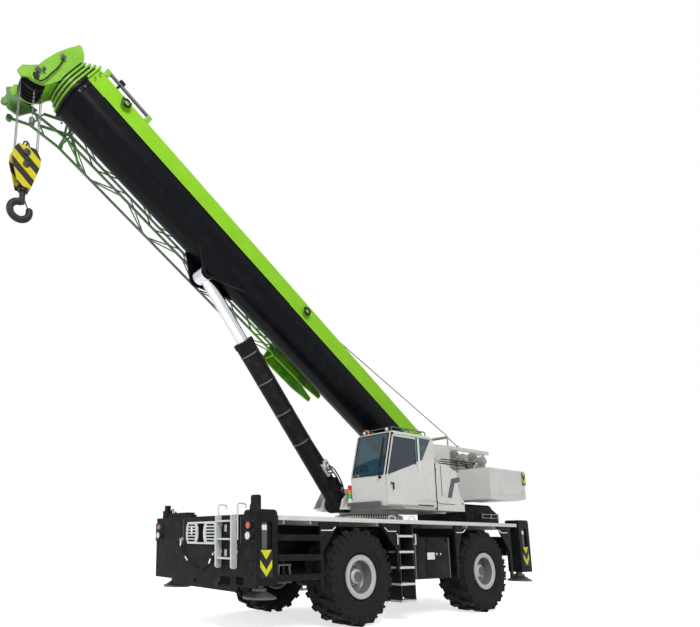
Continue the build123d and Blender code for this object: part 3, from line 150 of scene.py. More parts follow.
# %% Floor
def studio_floor(half, glow_strength):
    """A pale floor as wide as the view, which is not part of the crane."""
    mesh = bpy.data.meshes.new("floor")
    mesh.from_pydata([(-half, -half, 0), (half, -half, 0), (half, half, 0), (-half, half, 0)], [], [(0, 1, 2, 3)])
    finish = bpy.data.materials.new("pale_floor")
    finish.use_nodes = True
    tree = finish.node_tree
    link = tree.links.new
    shader = tree.nodes["Principled BSDF"]
    shader.inputs["Base Color"].default_value = (0.86, 0.86, 0.86, 1)
    shader.inputs["Roughness"].default_value = 0.9
    shader.inputs["Specular IOR Level"].default_value = 0.1
    glow = tree.nodes.new("ShaderNodeEmission")
    glow.inputs["Strength"].default_value = glow_strength
    both = tree.nodes.new("ShaderNodeAddShader")
    link(shader.outputs[0], both.inputs[0])
    link(glow.outputs[0], both.inputs[1])
    pick = tree.nodes.new("ShaderNodeMixShader")
    link(seen_directly(tree), pick.inputs[0])
    link(shader.outputs[0], pick.inputs[1])
    link(both.outputs[0], pick.inputs[2])
    link(pick.outputs[0], tree.nodes["Material Output"].inputs["Surface"])
    mesh.materials.append(finish)
    add_object("floor", mesh)


studio_floor(60.0, 0.70)
print("floor ready")

# %% [markdown]
# ## Finishes
# Nearly everything on the crane is painted steel. Real paint is never one flat colour: it carries a faint mottle,
# dust that settles, a slight ripple from the plate below, and bare rubbed edges. One helper builds that from noise
# and from a bevel look-up that finds the edges, so each finish only states its own numbers.

# %% Shader helper
class Finish:
    """A material and its node tree, with the few steps that the crane's finishes share."""

    def __init__(self, name, colour, roughness, metallic=0.0, specular=0.5):
        self.material = bpy.data.materials.new(name)
        self.material.use_nodes = True
        self.tree = self.material.node_tree
        self.shader = self.tree.nodes["Principled BSDF"]
        self.shader.inputs["Roughness"].default_value = roughness
        self.shader.inputs["Metallic"].default_value = metallic
        self.shader.inputs["Specular IOR Level"].default_value = specular
        self.place = self.tree.nodes.new("ShaderNodeTexCoord").outputs["Object"]
        self.colour = self.tree.nodes.new("ShaderNodeRGB").outputs[0]
        self.colour.default_value = (*colour, 1)
        self.height = None

    def link(self, a, b):
        """Joins an output to an input."""
        self.tree.links.new(a, b)

    def node(self, kind, operation=None, **numbers):
        """A new node, with its operation and its plain numbers set."""
        made = self.tree.nodes.new(kind)
        if operation is not None:
            made.operation = operation
        for key, number in numbers.items():
            made.inputs[key].default_value = number
        return made

    def combine(self, kind, a, b):
        """One math node on two numbers or sockets."""
        node = self.node("ShaderNodeMath", kind)
        for socket, value in zip(node.inputs, (a, b)):
            if isinstance(value, (int, float)):
                socket.default_value = value
            else:
                self.link(value, socket)
        return node.outputs[0]

    def along(self, direction):
        """How far a point lies along a direction, in metres."""
        node = self.node("ShaderNodeVectorMath", "DOT_PRODUCT")
        self.link(self.place, node.inputs[0])
        node.inputs[1].default_value = direction
        return node.outputs["Value"]

    def noise(self, scale, detail=3.0, rough=0.55):
        """Noise from 0 to 1 in the crane's own metres."""
        node = self.node("ShaderNodeTexNoise", Scale=scale, Detail=detail, Roughness=rough)
        self.link(self.place, node.inputs["Vector"])
        return node.outputs["Fac"]

    def ramp(self, value, low, high, start=0.0, end=1.0):
        """Rescales a value from low..high to start..end, held inside it."""
        node = self.node("ShaderNodeMapRange")
        node.clamp = True
        self.link(value, node.inputs["Value"])
        for key, number in (("From Min", low), ("From Max", high), ("To Min", start), ("To Max", end)):
            node.inputs[key].default_value = number
        return node.outputs[0]

    def edges(self, width):
        """1 on sharp edges, 0 on flat faces."""
        bevel = self.node("ShaderNodeBevel", Radius=width)
        bevel.samples = 4
        facing = self.node("ShaderNodeNewGeometry")
        node = self.node("ShaderNodeVectorMath", "DOT_PRODUCT")
        self.link(bevel.outputs[0], node.inputs[0])
        self.link(facing.outputs["Normal"], node.inputs[1])
        return self.ramp(node.outputs["Value"], 0.99, 0.86)

    def tint(self, mask, colour):
        """Lays another colour over the present one where the mask is 1."""
        node = self.node("ShaderNodeMix")
        node.data_type = "RGBA"
        self.link(mask, node.inputs["Factor"])
        self.link(self.colour, node.inputs[6])
        node.inputs[7].default_value = (*colour, 1)
        self.colour = node.outputs[2]

    def mottle(self, amount, scale=3.0):
        """A faint change of shade over the surface."""
        shade = self.ramp(self.noise(scale), 0.3, 0.7, 1.0 - amount, 1.0 + amount)
        node = self.node("ShaderNodeVectorMath", "SCALE")
        self.link(self.colour, node.inputs[0])
        self.link(shade, node.inputs["Scale"])
        self.colour = node.outputs[0]

    def raise_by(self, value, depth):
        """Adds a relief to the bump of the surface."""
        part = self.combine("MULTIPLY", value, depth)
        self.height = part if self.height is None else self.combine("ADD", self.height, part)

    def roughen(self, value, low, high):
        """Lets the gloss change between two roughness values."""
        self.link(self.ramp(value, 0.3, 0.7, low, high), self.shader.inputs["Roughness"])

    def done(self):
        """Joins the colour and the relief to the shader, and gives the material."""
        self.link(self.colour, self.shader.inputs["Base Color"])
        if self.height is not None:
            bump = self.node("ShaderNodeBump", Strength=1.0, Distance=1.0)
            self.link(self.height, bump.inputs["Height"])
            self.link(bump.outputs[0], self.shader.inputs["Normal"])
        return self.material


print("helper ready")


# %% Painted plate
def painted(name, colour, roughness=0.38, worn=0.25, dust=0.12, worn_colour=(0.42, 0.42, 0.4), shine=0.5):
    """Sprayed paint on welded plate: mottle, ripple, dust and lightly rubbed edges."""
    paint = Finish(name, colour, roughness, 0.0, shine)
    paint.mottle(0.05, 1.7)
    paint.mottle(0.04, 14.0)
    dusty = paint.ramp(paint.noise(5.0, 6.0, 0.65), 0.5, 0.8, 0.0, dust)
    paint.tint(dusty, tuple(0.6 * c + 0.08 for c in colour))
    patches = paint.ramp(paint.noise(9.0, 5.0, 0.7), 0.45, 0.62, 0.0, worn)
    paint.tint(paint.combine("MULTIPLY", paint.edges(0.012), patches), worn_colour)
    paint.roughen(paint.noise(6.0, 4.0), roughness - 0.06, roughness + 0.12)
    paint.raise_by(paint.noise(240.0, 2.0), 0.00012)
    paint.raise_by(paint.noise(1.6, 1.0), 0.0015)
    return paint.done()


carrier_paint = painted("charcoal_paint", (0.009, 0.009, 0.010), 0.5, 0.25, 0.2, (0.04, 0.04, 0.04), 0.08)
turret_paint = painted("pale_grey_paint", (0.60, 0.60, 0.575), 0.36, 0.3, 0.10, (0.2, 0.2, 0.2))
fresh_green = painted("fresh_green_paint", (0.17, 0.40, 0.018), 0.34, 0.3, 0.12, (0.07, 0.16, 0.03), 0.35)
print("paints", len(bpy.data.materials))


# %% Rubber, bare steel and other finishes
def rubber(name, colour):
    """Tyre rubber: matt, grey with patches of road dust."""
    skin = Finish(name, colour, 0.78, 0.0, 0.15)
    skin.mottle(0.16, 6.0)
    skin.tint(skin.ramp(skin.noise(11.0, 6.0, 0.7), 0.48, 0.8, 0.0, 0.35), (0.045, 0.043, 0.038))
    skin.tint(skin.combine("MULTIPLY", skin.edges(0.02), 0.45), (0.04, 0.04, 0.04))
    skin.raise_by(skin.noise(90.0, 4.0, 0.7), 0.0012)
    return skin.done()


def bare_metal(name, colour, roughness, metallic=1.0):
    """Bare or plated metal with a fine grain."""
    metal = Finish(name, colour, roughness, metallic)
    metal.mottle(0.06, 8.0)
    metal.roughen(metal.noise(30.0, 5.0, 0.6), roughness * 0.75, roughness * 1.35)
    metal.raise_by(metal.noise(160.0, 3.0, 0.6), 0.00015)
    return metal.done()


tyre_rubber = rubber("tyre_rubber", (0.010, 0.010, 0.0105))
rim_silver = painted("rim_silver", (0.46, 0.47, 0.48), 0.34, 0.2, 0.12)
rim_shade = painted("rim_shade", (0.15, 0.155, 0.16), 0.5, 0.1, 0.1)
dark_steel = bare_metal("dark_steel", (0.11, 0.11, 0.115), 0.5, 0.7)
plated_rod = bare_metal("plated_rod", (0.62, 0.63, 0.65), 0.2)
ladder_metal = bare_metal("brushed_aluminium", (0.62, 0.63, 0.64), 0.36, 0.85)
rope_steel = bare_metal("rope_steel", (0.16, 0.16, 0.165), 0.5, 0.8)
winch_metal = painted("winch_metal", (0.34, 0.32, 0.28), 0.4, 0.4, 0.5, (0.6, 0.6, 0.58), 0.5)
seat_cloth = painted("seat_cloth", (0.03, 0.03, 0.034), 0.8, 0.0, 0.0)


def tinted_glass(name, colour):
    """Thin tinted glass: mostly clear, with a strong sky reflection."""
    pane = Finish(name, colour, 0.03, 0.0, 0.6)
    pane.shader.inputs["Transmission Weight"].default_value = 0.85
    pane.shader.inputs["IOR"].default_value = 1.45
    pane.mottle(0.03, 2.0)
    return pane.done()


cab_tint = tinted_glass("cab_glass", (0.11, 0.22, 0.28))
door_tint = tinted_glass("door_glass", (0.03, 0.10, 0.16))
print("finishes", len(bpy.data.materials))

# %% [markdown]
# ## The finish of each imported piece
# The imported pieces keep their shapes. Each takes the finish of the real part: grey superstructure, charcoal
# carrier, black tyres on silver rims, and the boom's two colours, which meet along a straight line that the paint
# itself draws.

# %% Boom axes
elevation = math.radians(33.6)
slew_x = -2.176
boom_foot = (-2.4 + slew_x, 0.0, 3.55)
boom_along = (math.cos(elevation), 0.0, math.sin(elevation))
boom_up = (-math.sin(elevation), 0.0, math.cos(elevation))
foot_s = boom_foot[0] * boom_along[0] + boom_foot[2] * boom_along[2]
foot_h = boom_foot[0] * boom_up[0] + boom_foot[2] * boom_up[2]
print("boom line", round(foot_s, 3), round(foot_h, 3))


# %% Lamp and lattice finishes
def stack_lamp(name):
    """The stack lamp beside the cab, red over amber over green, and the amber lamps on the roof."""
    pane = Finish(name, (0.70, 0.72, 0.70), 0.15)
    height = pane.along(upward)
    for low, high, colour in ((2.55, 2.66, (0.02, 0.42, 0.10)), (2.66, 2.75, (0.75, 0.22, 0.02)),
                              (2.75, 2.90, (0.60, 0.012, 0.01)), (3.90, 4.30, (0.75, 0.20, 0.01))):
        above = pane.combine("GREATER_THAN", height, low)
        below = pane.combine("LESS_THAN", height, high)
        pane.tint(pane.combine("MULTIPLY", above, below), colour)
    pane.mottle(0.08, 25.0)
    pane.raise_by(pane.noise(120.0, 2.0), 0.0003)
    return pane.done()


def jib_paint(name):
    """Grey lattice, with the fresh green only on its lower end."""
    coat = Finish(name, (0.17, 0.20, 0.16), 0.4, 0.0, 0.3)
    low = coat.combine("SUBTRACT", coat.along(boom_along), foot_s)
    coat.tint(coat.ramp(low, 6.45, 6.40), (0.16, 0.45, 0.015))
    coat.tint(coat.ramp(low, 11.3, 11.35, 0.0, 0.75), (0.07, 0.24, 0.025))
    coat.tint(coat.ramp(coat.noise(2.0, 2.0), 0.45, 0.55, 0.0, 0.6), (0.06, 0.15, 0.04))
    coat.mottle(0.10, 6.0)
    coat.raise_by(coat.noise(160.0, 2.0), 0.0002)
    return coat.done()


print("lamp and lattice finishes ready")


# %% Ladder and boom finishes
def ladder_finish(name, tread_heights):
    """Bright ladder at the front, and at the side dark rails with bright treads."""
    metal = Finish(name, (0.56, 0.57, 0.575), 0.4, 0.25, 0.4)
    at_side = metal.combine("LESS_THAN", metal.along(ahead), 2.0)
    near = None
    for height in tread_heights:
        gap = metal.combine("ABSOLUTE", metal.combine("SUBTRACT", metal.along(upward), height), 0.0)
        here = metal.combine("LESS_THAN", gap, 0.022)
        near = here if near is None else metal.combine("MAXIMUM", near, here)
    metal.tint(metal.combine("MULTIPLY", at_side, metal.combine("SUBTRACT", 1.0, near)), (0.014, 0.014, 0.015))
    metal.mottle(0.08, 8.0)
    metal.roughen(metal.noise(30.0, 5.0), 0.34, 0.52)
    metal.raise_by(metal.noise(160.0, 3.0), 0.00015)
    return metal.done()


def boom_paint(name, seam):
    """Blue-black sides under a fresh green back, divided at a height above the boom's middle line."""
    coat = Finish(name, (0.003, 0.0035, 0.005), 0.34, 0.0, 0.07)
    h = coat.combine("SUBTRACT", coat.along(boom_up), foot_h)
    coat.mottle(0.08, 1.5)
    coat.tint(coat.ramp(h, seam - 0.002, seam + 0.002), (0.22, 0.50, 0.022))
    coat.mottle(0.05, 2.5)
    dusty = coat.ramp(coat.noise(4.0, 6.0, 0.65), 0.5, 0.8, 0.0, 0.05)
    coat.tint(dusty, (0.12, 0.12, 0.1))
    coat.roughen(coat.noise(5.0, 4.0), 0.28, 0.42)
    coat.raise_by(coat.noise(220.0, 2.0), 0.0001)
    return coat.done()


print("ladder and boom finishes ready")

# %% Painted finishes of the boom, lamps and ladders
tread_heights = (1.73, 1.405, 1.085, 0.75, 0.41)
boom_two_colour = boom_paint("boom_two_colour", -0.165)
stack_colours = stack_lamp("stack_colours")
jib_two_colour = jib_paint("jib_two_colour")
ladder_two_colour = ladder_finish("ladder_two_colour", tread_heights)
grille_silver = painted("grille_silver", (0.60, 0.61, 0.62), 0.3, 0.2, 0.05, (0.2, 0.2, 0.2))
print("finishes", len(bpy.data.materials))


# %% Ribbed collar paint
def rib_paint(name, first_rib, last_rib, pitch):
    """Fresh green with the dark tube showing between the collars at the boom's end."""
    coat = Finish(name, (0.17, 0.40, 0.018), 0.36, 0.0, 0.3)
    s = coat.combine("SUBTRACT", coat.along(boom_along), foot_s)
    pitches = coat.combine("DIVIDE", coat.combine("SUBTRACT", s, first_rib), pitch)
    between = coat.combine("LESS_THAN", coat.combine("FRACT", pitches, 0.0), 0.5)
    coat.tint(coat.combine("MULTIPLY", between, coat.combine("LESS_THAN", s, last_rib)), (0.006, 0.010, 0.006))
    coat.tint(coat.combine("LESS_THAN", s, first_rib - 0.05), (0.004, 0.0045, 0.006))
    coat.mottle(0.06, 2.5)
    coat.tint(coat.combine("MULTIPLY", coat.edges(0.010), 0.35), (0.08, 0.18, 0.03))
    coat.roughen(coat.noise(5.0, 4.0), 0.30, 0.45)
    coat.raise_by(coat.noise(220.0, 2.0), 0.0001)
    return coat.done()


ribbed_green = rib_paint("ribbed_green", 12.09, 12.40, 0.078)
sheave_black = painted("sheave_black", (0.010, 0.010, 0.012), 0.5, 0.3, 0.1, (0.05, 0.05, 0.05), 0.15)
hook_black = painted("hook_black", (0.012, 0.012, 0.010), 0.45, 0.4, 0.15, (0.05, 0.05, 0.045), 0.25)
print("collar paint ready")


# %% Hook block stripes
def hook_finish(name):
    """Slanted yellow and black stripes on the hook block's cheeks."""
    coat = Finish(name, (0.018, 0.017, 0.014), 0.5, 0.0, 0.12)
    run = coat.combine("DIVIDE", coat.along((0.66, 0.0, -0.75)), 0.25)
    band = coat.combine("GREATER_THAN", coat.combine("FRACT", run, 0.0), 0.5)
    coat.tint(band, (0.50, 0.44, 0.012))
    coat.mottle(0.10, 9.0)
    coat.tint(coat.combine("MULTIPLY", coat.edges(0.01), 0.6), (0.05, 0.05, 0.05))
    coat.raise_by(coat.noise(180.0, 2.0), 0.0002)
    return coat.done()


hook_stripes = hook_finish("hook_stripes")
print("hook stripes ready")

# %% Dress every node
finish_of_start = (("tyre_", tyre_rubber), ("rim_", rim_silver), ("boom_section", ribbed_green),
                   ("head_", sheave_black), ("outrigger_jack", dark_steel))
finish_of_node = {name: finish for name in crane for start, finish in finish_of_start if name.startswith(start)}
for name in ("turret_frame", "counterweight", "body_panel", "cab_shell", "cab_door", "deck"):
    finish_of_node[name] = turret_paint
finish_of_node.update({
    "boom_base": boom_two_colour, "jib": jib_two_colour, "lift_rod": plated_rod, "lift_piston": plated_rod,
    "lift_foot_pin": dark_steel, "boom_foot_pin": dark_steel, "rope_falls": rope_steel, "hook": hook_black,
    "hook_block": hook_stripes, "cab_glass": cab_tint, "cab_door_glass": door_tint, "cab_seat": seat_cloth,
    "grille": grille_silver, "ladders": ladder_two_colour, "turret_lamps": stack_colours, "winches": winch_metal,
})
for name, piece in crane.items():
    piece.data.materials.clear()
    piece.data.materials.append(finish_of_node.get(name, carrier_paint))
print("dressed", len(crane), "of them in charcoal", len(set(crane) - set(finish_of_node)))

# %% [markdown]
# ## Helpers for the small pieces
# A crane wears hundreds of small things: bolts, straps, hoses, handles and plates. Each could be added by hand in
# the viewport, but a few helpers keep them alike: a bevelled bar, a round rod, a turned profile and a bent tube.
# They work in metres from the slewing ring's middle, where such a machine is measured from.

# %% Places
def at(x, y, z):
    """A point measured from the slewing ring's middle, in the crane's frame."""
    return Vector((x + slew_x, y, z))


def on_boom(s, y, h):
    """A point of the raised boom: s along it from its foot, y across, h above its middle line."""
    return Vector(boom_foot) + Vector(boom_along) * s + Vector(boom_up) * h + Vector((0, y, 0))


boom_turn = Matrix.Rotation(-elevation, 3, "Y")
print("boom point", [round(v, 3) for v in on_boom(10, 0, 0.27)])


# %% Mesh helpers
def add_bar(shape, middle, size, soft=0.004, turn=None):
    """A bar with softened edges, of a size and about its middle, turned where asked."""
    start = len(shape.verts)
    cube = bmesh.ops.create_cube(shape, size=1.0)["verts"]
    bmesh.ops.scale(shape, vec=size, verts=cube)
    edges = list(dict.fromkeys(edge for corner in cube for edge in corner.link_edges))
    round_by = min(soft, 0.3 * min(size))
    bmesh.ops.bevel(shape, geom=edges, offset=round_by, segments=2, profile=0.5, affect="EDGES")
    shape.verts.ensure_lookup_table()
    added = shape.verts[start:]
    if turn is not None:
        bmesh.ops.rotate(shape, cent=(0, 0, 0), matrix=turn, verts=added)
    bmesh.ops.translate(shape, vec=middle, verts=added)


def add_turned(shape, profile, place, axis, sides=24):
    """A turned piece: a profile of (radius, distance) pairs, spun about an axis that starts at a place."""
    axis = Vector(axis).normalized()
    across = axis.orthogonal().normalized()
    beside = axis.cross(across)
    rings = []
    for radius, distance in profile:
        ring = []
        for step in range(sides):
            angle = 2 * math.pi * step / sides
            spoke = math.cos(angle) * across + math.sin(angle) * beside
            ring.append(shape.verts.new(Vector(place) + axis * distance + spoke * radius))
        rings.append(ring)
    for low, high in zip(rings, rings[1:]):
        for step in range(sides):
            after = (step + 1) % sides
            shape.faces.new((low[step], low[after], high[after], high[step]))
    shape.faces.new(rings[0][::-1])
    shape.faces.new(rings[-1])


def add_rod(shape, start, end, radius, sides=16):
    """A plain round rod with eased ends."""
    run = Vector(end) - Vector(start)
    ease = min(0.25 * radius, 0.1 * run.length)
    profile = [(radius - ease, 0), (radius, ease), (radius, run.length - ease), (radius - ease, run.length)]
    add_turned(shape, profile, start, run, sides)


def add_bolts(shape, places, axis, radius):
    """Hexagon bolt heads on washers, standing on a face along an axis."""
    for place in places:
        add_turned(shape, [(1.5 * radius, 0), (1.5 * radius, 0.3 * radius)], place, axis, 16)
        profile = [(radius, 0.3 * radius), (radius, 0.85 * radius), (0.8 * radius, radius)]
        add_turned(shape, profile, place, axis, 6)


print("bars, rods and bolts ready")


# %% Sheets and finished pieces
def add_sheet(shape, outline, depth):
    """A flat plate: an outline in the X-Z plane, thickened along Y."""
    near = [shape.verts.new(point) for point in outline]
    far = [shape.verts.new(point + Vector((0, depth, 0))) for point in outline]
    shape.faces.new(near)
    shape.faces.new(far[::-1])
    for k in range(len(outline)):
        after = (k + 1) % len(outline)
        shape.faces.new((near[k], far[k], far[after], near[after]))


def show(name, shape, finish, body, smooth=True):
    """Turns a shape into a piece of the crane that moves with a body."""
    bmesh.ops.recalc_face_normals(shape, faces=shape.faces)
    mesh = bpy.data.meshes.new(name)
    shape.to_mesh(mesh)
    shape.free()
    mesh.materials.append(finish)
    if smooth:
        mesh.shade_smooth()
        mesh.set_sharp_from_angle(angle=math.radians(35))
    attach(add_object(name, mesh), body)


def show_bar(name, middle, size, soft, finish, body):
    """A piece that is a single bar."""
    shape = bmesh.new()
    add_bar(shape, middle, size, soft)
    show(name, shape, finish, body)


print("mesh helpers ready")


# %% Bent tubes
def bent_tubes(name, routes, radius, finish, body):
    """Hoses, rails and handles: one smooth round tube for each list of points."""
    data = bpy.data.curves.new(name, "CURVE")
    data.dimensions = "3D"
    data.bevel_depth = radius
    data.bevel_resolution = 3
    data.resolution_u = 8
    data.use_fill_caps = True
    for route in routes:
        spline = data.splines.new("NURBS")
        spline.points.add(len(route) - 1)
        for point, place in zip(spline.points, route):
            point.co = (*place, 1.0)
        spline.order_u = 3
        spline.use_endpoint_u = True
    data.materials.append(finish)
    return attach(add_object(name, data), body)


def with_tight_corners(points, reach):
    """Adds a point close to each side of every corner, so that a smooth tube turns there and is straight between."""
    points = [Vector(p) for p in points]
    route = [points[0]]
    for before, corner, after in zip(points, points[1:], points[2:]):
        back = before - corner
        on = after - corner
        route.append(corner + back.normalized() * min(reach, 0.45 * back.length))
        route.append(corner)
        route.append(corner + on.normalized() * min(reach, 0.45 * on.length))
    route.append(points[-1])
    return route


print("tube helper ready")

# %% [markdown]
# ## Paints for the small pieces
# The warning plates are black and yellow, and the lamps amber and clear. Lens flutes are a wave in the shader, which
# stays crisp at any distance and needs no picture.

# %% More finishes
def lens(name, colour):
    """A moulded lamp lens with fine flutes."""
    pane = Finish(name, colour, 0.12)
    pane.shader.inputs["Transmission Weight"].default_value = 0.25
    pane.mottle(0.06, 30.0)
    flutes = pane.node("ShaderNodeTexWave", Scale=28.0)
    flutes.bands_direction = "Z"
    pane.link(pane.place, flutes.inputs["Vector"])
    pane.raise_by(flutes.outputs["Fac"], 0.0012)
    return pane.done()


warning_black = painted("warning_black", (0.012, 0.012, 0.012), 0.45, 0.2, 0.1, (0.05, 0.05, 0.05), 0.2)
warning_yellow = painted("warning_yellow", (0.62, 0.60, 0.012), 0.4, 0.2, 0.1, (0.3, 0.25, 0.05), 0.3)
amber_lens = lens("amber_lens", (0.75, 0.16, 0.01))
white_lens = lens("white_lens", (0.80, 0.82, 0.80))
white_paint = painted("white_paint", (0.74, 0.74, 0.72), 0.35, 0.2, 0.05, (0.3, 0.3, 0.3))
# Near-black paint for bolts and pocket frames, and painted shade for the sheet inside each tow pocket.
black_and_pocket_shade = painted("black_and_pocket_shade", (0.003, 0.003, 0.003), 0.6, 0.1, 0.1, (0.02, 0.02, 0.02), 0.03)
black_rubber = rubber("black_rubber", (0.008, 0.008, 0.008))
hose_black = rubber("hose_black", (0.012, 0.012, 0.012))
bright_steel = bare_metal("bright_steel", (0.58, 0.58, 0.57), 0.3)
slate_paint = painted("slate_paint", (0.085, 0.09, 0.095), 0.5, 0.1, 0.05, (0.2, 0.2, 0.2), 0.3)
print("finishes", len(bpy.data.materials))

# %% [markdown]
# ## Wheels
# A wheel is held by a ring of nuts, and its tyre has raised rings on its wall where it meets the rim and where the
# tread begins. The nuts and rings are turned shapes that spin with the wheel. A picture texture could fake them, but
# real shapes catch the light when the wheel is steered.

# %% Wheel nuts, wall rings and valves
wheel_reach = 2.12
wheel_middle_y = 1.288
wheel_middle_z = 0.94
nut_ring_radius = 0.192
nut_face = 0.1245
lug_rows = 18
lug_lean = math.radians(16)
lug_radius = 0.795
hub_bolt_radius = 0.082
hub_face = 0.26
wheel_names = [("front_left", wheel_reach, 1), ("front_right", wheel_reach, -1),
               ("rear_left", -wheel_reach, 1), ("rear_right", -wheel_reach, -1)]


def around(angle, radius):
    """A spoke of an upright ring."""
    return Vector((radius * math.cos(angle), 0, radius * math.sin(angle)))


def round_places(middle, radius, count):
    """Evenly spread places on an upright ring."""
    return [middle + around(2 * math.pi * k / count, radius) for k in range(count)]


def add_hoop(shape, middle, side, radius, rise, width, face, sunk=0.004):
    """A raised ring on a tyre's or a rim's face, closed on itself, sunk a little or as deep as a wall."""
    sides = 72
    section = [(-width / 2, -sunk), (-width / 3, rise), (width / 3, rise), (width / 2, -sunk)]
    rings = []
    for step in range(sides):
        angle = 2 * math.pi * step / sides
        rings.append([shape.verts.new(middle + around(angle, radius + across) + Vector((0, side * (face + out), 0)))
                      for across, out in section])
    for step in range(sides):
        after = rings[(step + 1) % sides]
        for k in range(4):
            shape.faces.new((rings[step][k], rings[step][(k + 1) % 4], after[(k + 1) % 4], after[k]))


for wheel, wheel_x, side in wheel_names:
    middle = at(wheel_x, side * wheel_middle_y, wheel_middle_z)
    outward = Vector((0, side, 0))
    nuts = bmesh.new()
    add_bolts(nuts, round_places(middle + nut_face * outward, nut_ring_radius, 16), outward, 0.017)
    add_turned(nuts, [(0.1, 0.25), (0.1, 0.262), (0.07, 0.275), (0.03, 0.278)], middle, outward, 32)
    add_bolts(nuts, round_places(middle + hub_face * outward, hub_bolt_radius, 8), outward, 0.008)
    show("wheel_nuts_" + wheel, nuts, dark_steel, "wheel_" + wheel)
    lips = bmesh.new()
    for radius, rise, width, face in ((0.366, 0.016, 0.096, 0.331), (0.410, 0.006, 0.014, 0.3445),
                                      (0.372, 0.006, 0.012, 0.346), (0.322, 0.012, 0.012, 0.322)):
        add_hoop(lips, middle, side, radius, rise, width, face)
    valve = middle + Vector((0.33, 0, 0))
    add_rod(lips, valve + 0.10 * outward, valve + 0.2 * outward, 0.009)
    show("rim_lips_" + wheel, lips, rim_silver, "wheel_" + wheel)
    # A grey wall deep inside each rim, darker than the rim itself: painted shade of the rim's inner barrel.
    well = bmesh.new()
    add_hoop(well, middle, side, 0.316, 0.0, 0.010, 0.325, 0.20)
    show("rim_well_shade_" + wheel, well, rim_shade, "wheel_" + wheel)
    walls = bmesh.new()
    for radius, rise, width, face in ((0.50, 0.006, 0.020, 0.349), (0.565, 0.004, 0.010, 0.3605),
                                      (0.70, 0.006, 0.016, 0.3645)):
        add_hoop(walls, middle, side, radius, rise, width, face)
    for k in range(2 * lug_rows):
        angle = math.pi * (k + 0.5) / lug_rows
        spin = Matrix.Rotation(-angle, 3, "Y") @ Matrix.Rotation(side * lug_lean, 3, "Y")
        add_bar(walls, middle + around(angle, lug_radius) + 0.352 * outward, (0.17, 0.034, 0.05), 0.008, spin)
    show("tyre_wall_rings_" + wheel, walls, tyre_rubber, "wheel_" + wheel)
print("wheels dressed", len(wheel_names))

# %% [markdown]
# ## Front panel
# A short hose loop hangs between two hydraulic couplings on the panel. It is one smooth curve with crimped steel
# ferrules, and sags under its own weight. Lamps are turned bodies with moulded lenses.

# %% Lamps of the front panel
lamp_face = 4.838
for side, word in both_sides:
    lamp_y = side * 1.625
    bodies = bmesh.new()
    for z, size in ((1.711, 0.078), (1.886, 0.066)):
        add_turned(bodies, [(size, 0.0), (size, 0.036), (size - 0.008, 0.044), (size - 0.014, 0.036)],
                   at(lamp_face, lamp_y, z), ahead, 32)
    add_bolts(bodies, [at(lamp_face, lamp_y + side * y, z) for y in (0.10, -0.10) for z in (1.62, 1.80, 1.96)],
              ahead, 0.008)
    show("lamp_rings_" + word, bodies, slate_paint, "carrier")
    for z, size, out, finish, kind in ((1.711, 0.066, 0.012, white_lens, "head"),
                                       (1.886, 0.052, 0.002, amber_lens, "turn")):
        glass = bmesh.new()
        add_turned(glass, [(size, 0.036), (0.95 * size, 0.044), (0.6 * size, 0.0468), (0.2 * size, 0.047)],
                   at(lamp_face + out, lamp_y, z), ahead, 32)
        show(f"{kind}_lens_{word}", glass, finish, "carrier")
print("front lamps ready")

# %% Front hose loop
hose_face = 4.866
hose_points = [(-0.651, 1.604), (-0.672, 1.477), (-0.56, 1.36), (-0.461, 1.294), (-0.31, 1.188), (-0.12, 1.10),
               (0.027, 1.07), (0.18, 1.09), (0.297, 1.141), (0.40, 1.21), (0.448, 1.275), (0.533, 1.359)]
bent_tubes("front_hose", [[at(hose_face, y, z) for y, z in hose_points]], 0.014, hose_black, "carrier")
ferrules = bmesh.new()
for (y0, z0), (y1, z1) in (((-0.651, 1.62), (-0.668, 1.50)), ((-0.47, 1.30), (-0.37, 1.225)),
                           ((0.40, 1.20), (0.46, 1.29))):
    add_rod(ferrules, at(hose_face, y0, z0), at(hose_face, y1, z1), 0.021)
for y, z in ((-0.66, 1.63), (0.55, 1.375)):
    add_turned(ferrules, [(0.045, -0.036), (0.045, -0.02), (0.026, -0.02), (0.026, 0.02), (0.012, 0.026)],
               at(hose_face, y, z), ahead, 6)
show("hose_ferrules", ferrules, bright_steel, "carrier")
print("hose points", len(hose_points))

# %% Bolts, tow pockets and plates of the front panel
panel_face = 4.830
frame_size = 0.014
frame_depth = 0.016
pockets = bmesh.new()
for y0, y1, z0, z1 in ((0.762, 1.006, 0.862, 0.982), (1.238, 1.407, 0.884, 0.999)):
    middle_y, middle_z = (y0 + y1) / 2, (z0 + z1) / 2
    lying, standing = (frame_depth, y1 - y0, frame_size), (frame_depth, frame_size, z1 - z0)
    for y, z, size in ((middle_y, z0, lying), (middle_y, z1, lying),
                       (y0, middle_z, standing), (y1, middle_z, standing)):
        add_bar(pockets, at(panel_face + 0.006, y, z), size)
    # The near-black sheet inside each pocket is painted shade of its hollow.
    add_bar(pockets, at(panel_face + 0.001, middle_y, middle_z), (0.006, y1 - y0, z1 - z0), 0.001)
show("tow_pockets", pockets, black_and_pocket_shade, "carrier")
studs = bmesh.new()
edge_places = [(y, z) for y in (-1.70, -0.9, 1.70) for z in (1.06, 1.30, 1.56, 2.03)]
add_bolts(studs, [at(panel_face, y, z) for y, z in edge_places], ahead, 0.011)
for y, z in ((-0.163, 0.856), (0.702, 0.855)):
    dished = [(0.034, 0), (0.034, 0.006), (0.024, 0.008), (0.022, 0.001)]
    add_turned(studs, dished, at(panel_face, y, z), ahead, 24)
show("panel_bolts", studs, black_and_pocket_shade, "carrier")
locks = bmesh.new()
for y, z in ((0.895, 1.846), (0.900, 1.403)):
    add_bar(locks, at(panel_face + 0.004, y, z), (0.018, 0.075, 0.13), 0.006)
    add_rod(locks, at(panel_face, y, z), at(panel_face + 0.022, y, z), 0.02)
show("panel_locks", locks, bright_steel, "carrier")
seams = bmesh.new()
